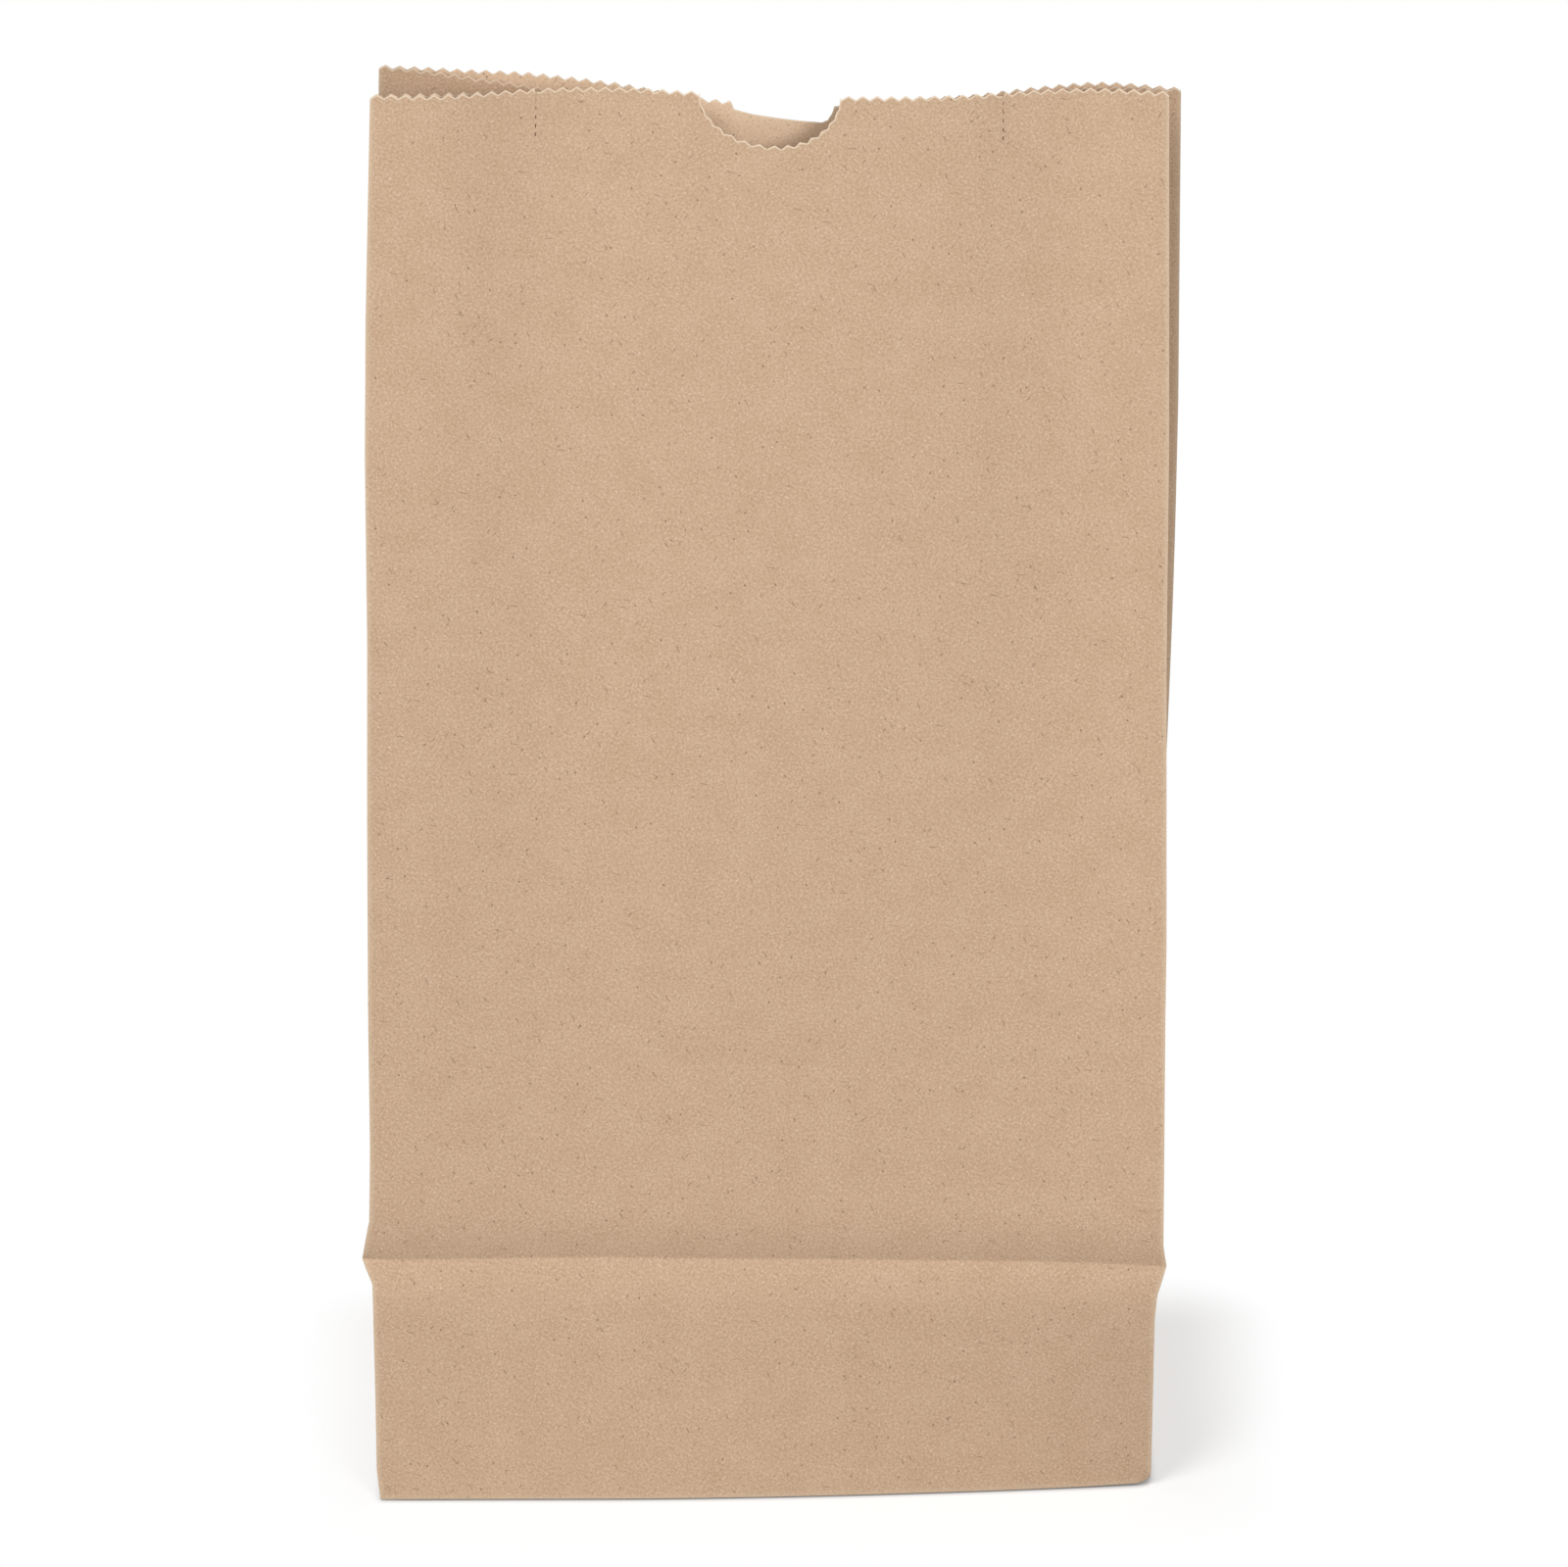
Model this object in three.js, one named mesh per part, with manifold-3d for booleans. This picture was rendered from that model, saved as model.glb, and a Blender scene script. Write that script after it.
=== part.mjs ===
// Brown paper lunch bag with a flat bottom and folded-in sides, standing open.
// Millimetres, +Z up, front wall towards -Y, origin on the ground under the middle of the base.
//
// The bag is one sheet of paper. Places on it are given in sheet coordinates: an along value that
// runs round the bag, and a climb value that runs up the paper from the base fold. The functions
// under "Form of the bag" bend that sheet into the standing bag.
import * as THREE from 'three';
import { mergeVertices } from 'three/addons/utils/BufferGeometryUtils.js';
import Module from 'manifold-3d';

// Sizes of the sheet. The folded-in sides are as deep as half the base, and their slanted creases
// meet at that height.
const WALL_WIDTH = 152.4;
const BASE_DEPTH = 92;
const WALL_LENGTH = 281;
const PAPER = 0.12;
const BACK_SEAM_WIDTH = 12;
const BACK_SEAM_OFFSET = 20;
const FLAP_OVERLAP = 16;
const FLAP_INSET = 0.25;

// Cut top edge
const TOOTH_PITCH = 2.7;
const TOOTH_DEPTH = 0.85;
const THUMB_NOTCH_LEFT = 14.4;
const THUMB_NOTCH_RIGHT = 12.4;
const THUMB_NOTCH_DEPTH = 10.3;
const THUMB_NOTCH_OFFSET = 1;
const NOTCH_TOOTH_PITCH = 2.6;
const NOTCH_TOOTH_DEPTH = 0.8;
const SLIT_OFFSET = 44.5;
const SLIT_LENGTH = 10.3;
const SLIT_WIDTH = 0.3;
const BACK_EDGE_DIP = 1;

// The back wall's smooth notch slants; each point is [distance right of the middle, depth]
const BACK_NOTCH = [
  [-9.1, 0.3], [-8.75, 1.3], [-5.3, 2.05], [-1.6, 2.5], [3.8, 3.2], [7.9, 3.65], [9, 3.2], [9.8, 1.9],
  [10.3, 0.4],
];

// Stance of the bag. MOUTH_GAP is the front-to-back opening at the top and MOUTH_SWAY the place of its
// middle line, each as [share of the width from the left, size] points.
const MOUTH_GAP = [[0, 18], [0.1, 17.1], [0.25, 9.6], [0.4, 6], [0.7, 9.5], [0.88, 8.3], [1, 8.1]];
const MOUTH_SWAY = [
  [0, -5.6], [0.1, -6], [0.2, -4.5], [0.3, -5.5], [0.4, -9.3], [0.5, -11.5], [0.62, -11.7],
  [0.74, -10.4], [0.82, -7.8], [0.9, -6.3], [1, -8.8],
];

// How far each upright fold stands in from the full width, as [climb, size] points; the front folds
// jut out at the cross crease
const LEFT_FOLD_PULL_IN = [
  [0, 2.35], [6, 1.65], [20.5, 1.45], [43.7, 0.95], [48.3, -1], [52.8, -0.35], [56.9, 0.4], [71, 0.6],
  [98, 0.33], [139, 0.3], [173, 0.45], [210, 0.15], [237, 0.4], [281, 1.4],
];
const RIGHT_FOLD_PULL_IN = [
  [0, 1.8], [20.5, 1.7], [37, 1.65], [42.3, 1.25], [48.3, -0.5], [53, 0.2], [98, 0.25], [113, 0.15],
  [169, 0.65], [210, 0.6], [281, 1.3],
];
const BACK_FOLD_PULL_IN = [[0, 2.1], [20, 1.6], [42, 1.2], [60, 0.4], [98, 0.3], [210, 0.4], [281, 1.35]];
const BACK_CORNER_SHIFT_RIGHT = 2.6;
const BACK_CORNER_SHIFT_LEFT = 1.6;
const BACK_SHIFT_FULL_AT = 190;
const FOOT_TUCK = 5.7;
const FOOT_TUCK_START = 0.3;
const CREASE_BULGE = 3.9;
const CREASE_BULGE_START = 0.55;
const CREASE_BULGE_END_CLIMB = 188;
const RIGHT_END_POWER = 1.7;
const GUSSET_DROP = 5.3;
const GUSSET_FOLLOWS_WALLS_AT = 110;

// The cross crease that the base left when the bag was folded flat
const CREASE_ABOVE_GUSSET_POINT = 2.3;
const CREASE_DEPTH = 0.8;
const CREASE_REACH = 8.5;

// Fineness of the mesh
const WALL_COLUMNS = 20;
const UPPER_ROWS = 7;
const FOOT_ROWS = 3;
const SEAM_COLUMNS = 2;
const FLAP_EDGE_STEPS = 8;
const CREASE_ROW_STEP = 4.5;
const BASE_PLIES = 2.5;
const NOTCH_TEETH_CLEARANCE = 4;
const STEP_WIDTH = 0.1;
const LONGEST_MITRE = 3;
const FLATNESS_SLACK = 0.002;
const LAYER_LAP = 0.04;

const GUSSET_WIDTH = BASE_DEPTH / 2;
const CREASE_CLIMB = GUSSET_WIDTH + CREASE_ABOVE_GUSSET_POINT;
const FLAP_LENGTH = (BASE_DEPTH + FLAP_OVERLAP) / 2;
const RIM_STRIP_CLIMB = WALL_LENGTH - Math.max(THUMB_NOTCH_DEPTH, SLIT_LENGTH) - NOTCH_TEETH_CLEARANCE;
const BASE_PLY_HEIGHT = BASE_PLIES * PAPER;

// Form of the bag

const lerp = THREE.MathUtils.lerp;
const smoothstep = THREE.MathUtils.smoothstep;

// A smooth curve through [place, value] points.
function curveThrough(points, place) {
  let i = 0;
  while (i < points.length - 2 && place > points[i + 1][0]) i += 1;
  const slopeAt = (k) => {
    const before = points[Math.max(k - 1, 0)];
    const after = points[Math.min(k + 1, points.length - 1)];
    return (after[1] - before[1]) / (after[0] - before[0]);
  };
  const [x0, y0] = points[i];
  const [x1, y1] = points[i + 1];
  const span = x1 - x0;
  const t = (place - x0) / span;
  const rise = (2 * t ** 3 - 3 * t ** 2 + 1) * y0 + (3 * t ** 2 - 2 * t ** 3) * y1;
  const bend = (t ** 3 - 2 * t ** 2 + t) * slopeAt(i) + (t ** 3 - t ** 2) * slopeAt(i + 1);
  return rise + bend * span;
}

// Straight lines through [place, value] points.
function straightThrough(points, place) {
  let i = 0;
  while (i < points.length - 2 && place > points[i + 1][0]) i += 1;
  const [x0, y0] = points[i];
  const [x1, y1] = points[i + 1];
  return lerp(y0, y1, (place - x0) / (x1 - x0));
}

// 0 up to a start, then rising ever faster to 1 at the right end.
function towardsRightEnd(share, start) {
  return Math.max(0, (share - start) / (1 - start)) ** RIGHT_END_POWER;
}

// How far the front wall's foot is tucked back, and its crease pushed forward, at the right end.
function rightEndShift(share, climb) {
  const tuck = FOOT_TUCK * towardsRightEnd(share, FOOT_TUCK_START);
  const bulge = CREASE_BULGE * towardsRightEnd(share, CREASE_BULGE_START);
  if (climb <= CREASE_CLIMB) return lerp(tuck, -bulge, climb / CREASE_CLIMB);
  return -bulge * (1 - smoothstep(climb, CREASE_CLIMB, CREASE_BULGE_END_CLIMB));
}

// 1 on the cross crease, falling to 0 at its reach above and below.
function nearCrease(climb) {
  return Math.max(0, 1 - Math.abs(climb - CREASE_CLIMB) / CREASE_REACH);
}

// Half the width of the back wall as it stands.
function backHalfWidth(climb) {
  return WALL_WIDTH / 2 - straightThrough(BACK_FOLD_PULL_IN, climb);
}

// The top of each wall, front to back, measured from the middle of the base.
function mouthDepth(share, side) {
  return curveThrough(MOUTH_SWAY, share) + side * curveThrough(MOUTH_GAP, share) / 2;
}

// A point on the front wall; share runs from 0 at its left fold to 1 at its right fold.
function onFrontWall(share, climb) {
  const lean = (mouthDepth(share, -1) + BASE_DEPTH / 2) * (climb / WALL_LENGTH);
  const valley = CREASE_DEPTH * nearCrease(climb) ** 2;
  const left = straightThrough(LEFT_FOLD_PULL_IN, climb) - WALL_WIDTH / 2;
  const right = WALL_WIDTH / 2 - straightThrough(RIGHT_FOLD_PULL_IN, climb);
  const depth = lean + rightEndShift(share, climb) + valley - BASE_DEPTH / 2;
  return new THREE.Vector3(lerp(left, right, share), depth, Math.sqrt(climb ** 2 - lean ** 2));
}

// A point on the back wall; share runs from 0 at its left fold to 1 at its right fold.
function onBackWall(share, climb) {
  const lean = (BASE_DEPTH / 2 - mouthDepth(share, 1)) * (climb / WALL_LENGTH);
  const cornerShift = lerp(BACK_CORNER_SHIFT_LEFT, BACK_CORNER_SHIFT_RIGHT, share);
  const shift = cornerShift * smoothstep(climb, 0, BACK_SHIFT_FULL_AT);
  const side = (2 * share - 1) * backHalfWidth(climb) + shift;
  return new THREE.Vector3(side, BASE_DEPTH / 2 - lean, Math.sqrt(climb ** 2 - lean ** 2));
}

// A point on the folded-in side. Inward runs from 0 at the wall's fold to GUSSET_WIDTH at the middle
// fold, side is -1 on the left and 1 on the right, and ply is -1 at the front and 1 at the back.
function onGusset(side, ply, inward, climb) {
  const cornerShare = side < 0 ? 0 : 1;
  const front = onFrontWall(cornerShare, climb);
  const back = onBackWall(cornerShare, climb);
  const corner = ply < 0 ? front : back;
  if (climb < GUSSET_WIDTH) {
    const point = middleFold(side, GUSSET_WIDTH);
    const onFrontCrease = onFrontWall(cornerShare, 0).lerp(point, climb / GUSSET_WIDTH);
    const onBackCrease = onBackWall(cornerShare, 0).lerp(point, climb / GUSSET_WIDTH);
    const middle = onFrontCrease.clone().lerp(onBackCrease, 0.5);
    const onCrease = ply < 0 ? onFrontCrease : onBackCrease;
    if (inward > climb) return onCrease.lerp(middle, (inward - climb) / (GUSSET_WIDTH - climb));
    return climb > 0 ? corner.lerp(onCrease, inward / climb) : corner;
  }
  const share = inward / GUSSET_WIDTH;
  const fold = middleFold(side, climb);
  const x = lerp(corner.x, fold.x, share);
  const wallShare = THREE.MathUtils.clamp((x / backHalfWidth(climb) + 1) / 2, 0, 1);
  const through = ply < 0 ? share / 2 : 1 - share / 2;
  const frontHere = onFrontWall(wallShare, climb);
  const backHere = onBackWall(wallShare, climb);
  const straight = lerp(corner.y, fold.y, share);
  const follow = smoothstep(climb, GUSSET_WIDTH, GUSSET_FOLLOWS_WALLS_AT);
  const depth = lerp(straight, lerp(frontHere.y, backHere.y, through), follow);
  const sag = (lerp(front.z, back.z, 0.5) - fold.z) * share ** (1 + climb / WALL_LENGTH);
  return new THREE.Vector3(x, depth, lerp(front.z, back.z, through) - sag);
}

// The inner fold of a folded-in side, above the point where its slanted creases meet.
function middleFold(side, climb) {
  const cornerShare = side < 0 ? 0 : 1;
  const front = onFrontWall(cornerShare, climb);
  const back = onBackWall(cornerShare, climb);
  const spread = Math.min(back.y - front.y, 2 * GUSSET_WIDTH);
  const reach = Math.sqrt(GUSSET_WIDTH ** 2 - (spread / 2) ** 2);
  const fold = front.lerp(back, 0.5);
  fold.x -= side * reach;
  fold.z -= GUSSET_DROP;
  return fold;
}

// Outline of the sheet's top edge, as [along, climb] points within one panel

function toothedEdge(width) {
  const teeth = Math.max(1, Math.round(width / TOOTH_PITCH));
  const pitch = width / teeth;
  const points = [];
  for (let k = 0; k < teeth; k += 1) {
    points.push([k * pitch, WALL_LENGTH - TOOTH_DEPTH]);
    points.push([(k + 0.5) * pitch, WALL_LENGTH]);
  }
  points.push([width, WALL_LENGTH - TOOTH_DEPTH]);
  return points;
}

// Puts the points of a cut in the place of the stretch of edge that it removes.
function cutInto(edge, cut) {
  const start = cut[0][0] - STEP_WIDTH;
  const end = cut[cut.length - 1][0] + STEP_WIDTH;
  return [...edge.filter(([along]) => along < start), ...cut, ...edge.filter(([along]) => along > end)];
}

// The thumb notch, an oval that is narrower on its right, with fine teeth that are deepest at its bottom.
function thumbNotch() {
  const middle = WALL_WIDTH / 2 + THUMB_NOTCH_OFFSET;
  const mouthClimb = WALL_LENGTH - TOOTH_DEPTH / 2;
  const edgeLength = Math.PI * Math.hypot(THUMB_NOTCH_LEFT, THUMB_NOTCH_DEPTH) * Math.SQRT1_2;
  const steps = 2 * Math.round(edgeLength / NOTCH_TOOTH_PITCH);
  const points = [[middle - THUMB_NOTCH_LEFT, mouthClimb]];
  for (let k = 1; k < steps; k += 1) {
    const turn = lerp(-Math.PI / 2, Math.PI / 2, k / steps);
    const reach = turn < 0 ? THUMB_NOTCH_LEFT : THUMB_NOTCH_RIGHT;
    const tooth = (k % 2) * NOTCH_TOOTH_DEPTH * Math.cos(turn);
    points.push([
      middle + (reach - tooth) * Math.sin(turn),
      mouthClimb - (THUMB_NOTCH_DEPTH - tooth) * Math.cos(turn),
    ]);
  }
  points.push([middle + THUMB_NOTCH_RIGHT, mouthClimb]);
  return points;
}

// A narrow slit down from the edge.
function slit(middle) {
  return [
    [middle - SLIT_WIDTH / 2, WALL_LENGTH - TOOTH_DEPTH],
    [middle, WALL_LENGTH - SLIT_LENGTH],
    [middle + SLIT_WIDTH / 2, WALL_LENGTH - TOOTH_DEPTH],
  ];
}

function frontEdge() {
  const middle = WALL_WIDTH / 2;
  const cuts = [slit(middle - SLIT_OFFSET), thumbNotch(), slit(middle + SLIT_OFFSET)];
  return cuts.reduce(cutInto, toothedEdge(WALL_WIDTH));
}

// The back wall's edge sags a little between its folds; it is drawn from the right fold to the left.
function backEdge() {
  const rimClimb = WALL_LENGTH - TOOTH_DEPTH / 2;
  const notch = BACK_NOTCH.map(([right, depth]) => [WALL_WIDTH / 2 - right, rimClimb - depth]).reverse();
  return cutInto(toothedEdge(WALL_WIDTH), notch).map(([along, climb]) => {
    const share = along / WALL_WIDTH;
    return [along, climb - 4 * BACK_EDGE_DIP * share * (1 - share)];
  });
}

// Panels of the sheet, in order round the bag, seen from above against the clock

function evenly(from, to, steps) {
  return Array.from({ length: steps + 1 }, (_, k) => lerp(from, to, k / steps));
}

const valleyStart = CREASE_CLIMB - CREASE_REACH;
const gussetLines = [...evenly(0, valleyStart, FOOT_ROWS), CREASE_CLIMB - CREASE_ROW_STEP, GUSSET_WIDTH];
const gussetLinesBack = gussetLines.map((line) => GUSSET_WIDTH - line).reverse();
const seamStart = WALL_WIDTH / 2 + BACK_SEAM_OFFSET;
const seamEnd = seamStart + BACK_SEAM_WIDTH;
const wallColumn = WALL_WIDTH / WALL_COLUMNS;
const backLines = [
  ...evenly(0, seamStart - STEP_WIDTH, Math.round(seamStart / wallColumn)),
  ...evenly(seamStart, seamEnd, SEAM_COLUMNS),
  ...evenly(seamEnd + STEP_WIDTH, WALL_WIDTH, Math.round((WALL_WIDTH - seamEnd) / wallColumn)),
];

const panels = [
  {
    lines: evenly(0, WALL_WIDTH, WALL_COLUMNS),
    edge: frontEdge(),
    place: (along, climb) => onFrontWall(along / WALL_WIDTH, climb),
  },
  {
    lines: gussetLines,
    edge: toothedEdge(GUSSET_WIDTH),
    place: (along, climb) => onGusset(1, -1, along, climb),
  },
  {
    lines: gussetLinesBack,
    edge: toothedEdge(GUSSET_WIDTH),
    place: (along, climb) => onGusset(1, 1, GUSSET_WIDTH - along, climb),
    creaseFallsBack: true,
  },
  {
    lines: backLines,
    edge: backEdge(),
    place: (along, climb) => onBackWall(1 - along / WALL_WIDTH, climb),
    seam: (along, climb) => climb > 0 && along >= seamStart && along <= seamEnd,
  },
  {
    lines: gussetLines,
    edge: toothedEdge(GUSSET_WIDTH),
    place: (along, climb) => onGusset(-1, 1, along, climb),
  },
  {
    lines: gussetLinesBack,
    edge: toothedEdge(GUSSET_WIDTH),
    place: (along, climb) => onGusset(-1, -1, GUSSET_WIDTH - along, climb),
    creaseFallsBack: true,
  },
];

const rows = [
  ...gussetLines,
  CREASE_CLIMB,
  CREASE_CLIMB + CREASE_ROW_STEP,
  ...evenly(CREASE_CLIMB + CREASE_REACH, RIM_STRIP_CLIMB, UPPER_ROWS),
];

// The bent sheet, with no thickness yet: points shared by their sheet coordinates, and triangles
const sheetPoints = [];
const plies = [];
const triangles = [];
const rim = [];
const pointNumbers = new Map();
const girth = panels.reduce((sum, panel) => sum + panel.lines.at(-1), 0);

function pointNumber(panel, start, along, climb) {
  const round = (start + along) % girth;
  const key = `${(round < girth - 1e-6 ? round : 0).toFixed(4)} ${climb.toFixed(4)}`;
  if (!pointNumbers.has(key)) {
    pointNumbers.set(key, sheetPoints.length);
    sheetPoints.push(panel.place(along, climb));
    plies.push(panel.seam?.(along, climb) ? 2 : 1);
  }
  return pointNumbers.get(key);
}

// The stretch of a top edge between two lines of the mesh.
function edgeBetween(edge, from, to) {
  const climbAt = (along) => {
    const k = edge.findIndex(([place]) => place >= along - 1e-9);
    if (k <= 0) return edge[0][1];
    const [a0, c0] = edge[k - 1];
    const [a1, c1] = edge[k];
    return lerp(c0, c1, (along - a0) / (a1 - a0));
  };
  const inside = edge.filter(([along]) => along > from + 1e-6 && along < to - 1e-6);
  return [[from, climbAt(from)], ...inside, [to, climbAt(to)]];
}

function addPanel(panel, start) {
  const { lines, edge } = panel;
  const number = (along, climb) => pointNumber(panel, start, along, climb);
  for (let i = 0; i < lines.length - 1; i += 1) {
    for (let j = 0; j < rows.length - 1; j += 1) {
      const a = number(lines[i], rows[j]);
      const b = number(lines[i + 1], rows[j]);
      const c = number(lines[i + 1], rows[j + 1]);
      const d = number(lines[i], rows[j + 1]);
      if (panel.creaseFallsBack) triangles.push([a, b, d], [b, c, d]);
      else triangles.push([a, b, c], [a, c, d]);
    }
    const top = edgeBetween(edge, lines[i], lines[i + 1]);
    const outline = [[lines[i], RIM_STRIP_CLIMB], [lines[i + 1], RIM_STRIP_CLIMB], ...top.toReversed()];
    const numbers = outline.map(([along, climb]) => number(along, climb));
    const contour = outline.map(([along, climb]) => new THREE.Vector2(along, climb));
    const faces = THREE.ShapeUtils.triangulateShape(contour, []);
    triangles.push(...faces.map((face) => face.map((k) => numbers[k])));
    const topNumbers = top.map(([along, climb]) => number(along, climb));
    for (let k = 0; k < topNumbers.length - 1; k += 1) rim.push([topNumbers[k], topNumbers[k + 1]]);
  }
  return start + lines.at(-1);
}

const baseOutline = [];
let panelStart = 0;
for (const panel of panels) {
  const start = panelStart;
  panelStart = addPanel(panel, start);
  baseOutline.push(...panel.lines.slice(0, -1).map((along) => pointNumber(panel, start, along, 0)));
}
for (const point of sheetPoints) point.z += BASE_PLY_HEIGHT;
const baseContour = baseOutline.map((k) => new THREE.Vector2(sheetPoints[k].x, sheetPoints[k].y));
for (const [a, b, c] of THREE.ShapeUtils.triangulateShape(baseContour, [])) {
  triangles.push([baseOutline[c], baseOutline[b], baseOutline[a]]);
}

// The direction in which each point moves so that all faces round it move out by one.
function outwardSteps() {
  const sums = sheetPoints.map(() => ({ matrix: new Array(6).fill(0), vector: new THREE.Vector3() }));
  for (const triangle of triangles) {
    const corners = triangle.map((k) => sheetPoints[k]);
    const normal = new THREE.Triangle(...corners).getNormal(new THREE.Vector3());
    triangle.forEach((k, i) => {
      const toNext = corners[(i + 1) % 3].clone().sub(corners[i]);
      const toLast = corners[(i + 2) % 3].clone().sub(corners[i]);
      const weight = toNext.angleTo(toLast);
      const { x, y, z } = normal;
      [x * x, x * y, x * z, y * y, y * z, z * z].forEach((product, m) => {
        sums[k].matrix[m] += weight * product;
      });
      sums[k].vector.addScaledVector(normal, weight);
    });
  }
  return sums.map(({ matrix: [xx, xy, xz, yy, yz, zz], vector }) => {
    const slack = FLATNESS_SLACK * (xx + yy + zz);
    const matrix = new THREE.Matrix3(xx + slack, xy, xz, xy, yy + slack, yz, xz, yz, zz + slack);
    return vector.applyMatrix3(matrix.invert()).clampLength(1, LONGEST_MITRE);
  });
}

// The sheet with its thickness: an outer face, an inner face and the cut edge between them.
function thickSheet() {
  const steps = outwardSteps();
  const moved = (k, distance) => sheetPoints[k].clone().addScaledVector(steps[k], distance);
  const outer = sheetPoints.map((_, k) => moved(k, PAPER * (plies[k] - 0.5)));
  const inner = sheetPoints.map((_, k) => moved(k, -PAPER / 2));
  const inward = sheetPoints.length;
  const faces = [
    ...triangles,
    ...triangles.map(([a, b, c]) => [c + inward, b + inward, a + inward]),
    ...rim.flatMap(([a, b]) => [[a, b, b + inward], [a, b + inward, a + inward]]),
  ];
  const geometry = new THREE.BufferGeometry().setFromPoints([...outer, ...inner]);
  geometry.setIndex(faces.flat());
  return geometry;
}

// Bottom flaps, seen from above; each narrows by 45 degrees from its fold to its free edge

const footHalfWidth = WALL_WIDTH / 2 - LEFT_FOLD_PULL_IN[0][1] - FLAP_INSET;
const flapTipHalfWidth = footHalfWidth - FLAP_LENGTH;

function frontFlapOutline() {
  const foot = evenly(0, 1, FLAP_EDGE_STEPS).map((share) => {
    const edge = onFrontWall(share, 0);
    return new THREE.Vector2((2 * share - 1) * footHalfWidth, edge.y + FLAP_INSET);
  });
  const tip = FLAP_LENGTH - BASE_DEPTH / 2;
  return [...foot, new THREE.Vector2(flapTipHalfWidth, tip), new THREE.Vector2(-flapTipHalfWidth, tip)];
}

function backFlapOutline() {
  const fold = BASE_DEPTH / 2 - FLAP_INSET;
  const tip = BASE_DEPTH / 2 - FLAP_LENGTH;
  return [
    new THREE.Vector2(-flapTipHalfWidth, tip),
    new THREE.Vector2(flapTipHalfWidth, tip),
    new THREE.Vector2(footHalfWidth, fold),
    new THREE.Vector2(-footHalfWidth, fold),
  ];
}

function flap(outline, from, to) {
  const settings = { depth: to - from, bevelEnabled: false };
  return new THREE.ExtrudeGeometry(new THREE.Shape(outline), settings).translate(0, 0, from);
}

// Joining

const wasm = await Module();
wasm.setup();

function toSolid(geometry) {
  const bare = geometry.clone();
  bare.deleteAttribute('normal');
  bare.deleteAttribute('uv');
  const merged = mergeVertices(bare, 1e-5);
  const vertProperties = Float32Array.from(merged.attributes.position.array);
  const triVerts = Uint32Array.from(merged.index.array);
  return new wasm.Manifold(new wasm.Mesh({ numProp: 3, vertProperties, triVerts }));
}

function toGeometry(solid) {
  const { vertProperties, triVerts } = solid.getMesh();
  const geometry = new THREE.BufferGeometry();
  geometry.setAttribute('position', new THREE.BufferAttribute(vertProperties, 3));
  geometry.setIndex(new THREE.BufferAttribute(triVerts, 1));
  geometry.computeVertexNormals();
  return geometry;
}

const flapTop = BASE_PLY_HEIGHT - PAPER / 2 + LAYER_LAP;
const frontFlap = toSolid(flap(frontFlapOutline(), PAPER, flapTop));
const backFlap = toSolid(flap(backFlapOutline(), 0, flapTop));
const bagSolid = toSolid(thickSheet()).add(frontFlap).add(backFlap);

const kraftPaper = new THREE.MeshStandardMaterial({ color: '#c9ac90', roughness: 0.85, metalness: 0 });
const bag = new THREE.Mesh(toGeometry(bagSolid), kraftPaper);
bag.name = 'paper_bag';

const group = new THREE.Group();
group.add(bag);

export default group;
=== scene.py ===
import math

import bpy
import numpy as np
from mathutils import Matrix, Vector
from mathutils.kdtree import KDTree


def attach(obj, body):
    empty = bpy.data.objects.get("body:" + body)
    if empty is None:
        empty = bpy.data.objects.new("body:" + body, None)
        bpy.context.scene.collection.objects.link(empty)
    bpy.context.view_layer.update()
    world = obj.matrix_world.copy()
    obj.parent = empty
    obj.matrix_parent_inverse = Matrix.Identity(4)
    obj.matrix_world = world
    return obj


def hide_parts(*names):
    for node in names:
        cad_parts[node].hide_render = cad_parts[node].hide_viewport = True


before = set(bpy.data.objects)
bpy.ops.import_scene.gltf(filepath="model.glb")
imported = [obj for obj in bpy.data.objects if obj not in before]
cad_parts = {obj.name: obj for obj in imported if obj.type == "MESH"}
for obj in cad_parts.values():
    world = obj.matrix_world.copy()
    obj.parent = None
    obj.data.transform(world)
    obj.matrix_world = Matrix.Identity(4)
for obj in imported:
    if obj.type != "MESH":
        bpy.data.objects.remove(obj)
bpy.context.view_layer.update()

bl_info = {
    "name": "Brown Paper Lunch Bag",
    "version": (1, 0, 0),
    "blender": (4, 5, 0),
    "location": "View3D > Sidebar > Paper Bag",
    "description": "Makes a standing kraft paper lunch bag with a flat bottom and folded-in sides",
    "category": "Add Mesh",
}

# The bag is one sheet of paper. It is drawn flat, with around running along the sheet from one end of
# the back seam to the other and climb running up from the base fold, trimmed while flat, and then
# folded to its place. Lengths are in metres, +Z is up and the front wall faces -Y.

MM = 0.001

# Stance. MOUTH_GAP is the front-to-back opening at the top and MOUTH_SWAY the place of its middle
# line, each as (share of the width from the left, size).
MOUTH_GAP = [
    (0, 18 * MM), (0.1, 17.1 * MM), (0.25, 9.6 * MM), (0.4, 6 * MM), (0.7, 9.5 * MM), (0.88, 8.3 * MM),
    (1, 8.1 * MM),
]
MOUTH_SWAY = [
    (0, -5.6 * MM), (0.1, -6 * MM), (0.2, -4.5 * MM), (0.3, -5.5 * MM), (0.4, -9.3 * MM), (0.5, -11.5 * MM),
    (0.62, -11.7 * MM), (0.74, -10.4 * MM), (0.82, -7.8 * MM), (0.9, -6.3 * MM), (1, -8.8 * MM),
]

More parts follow.
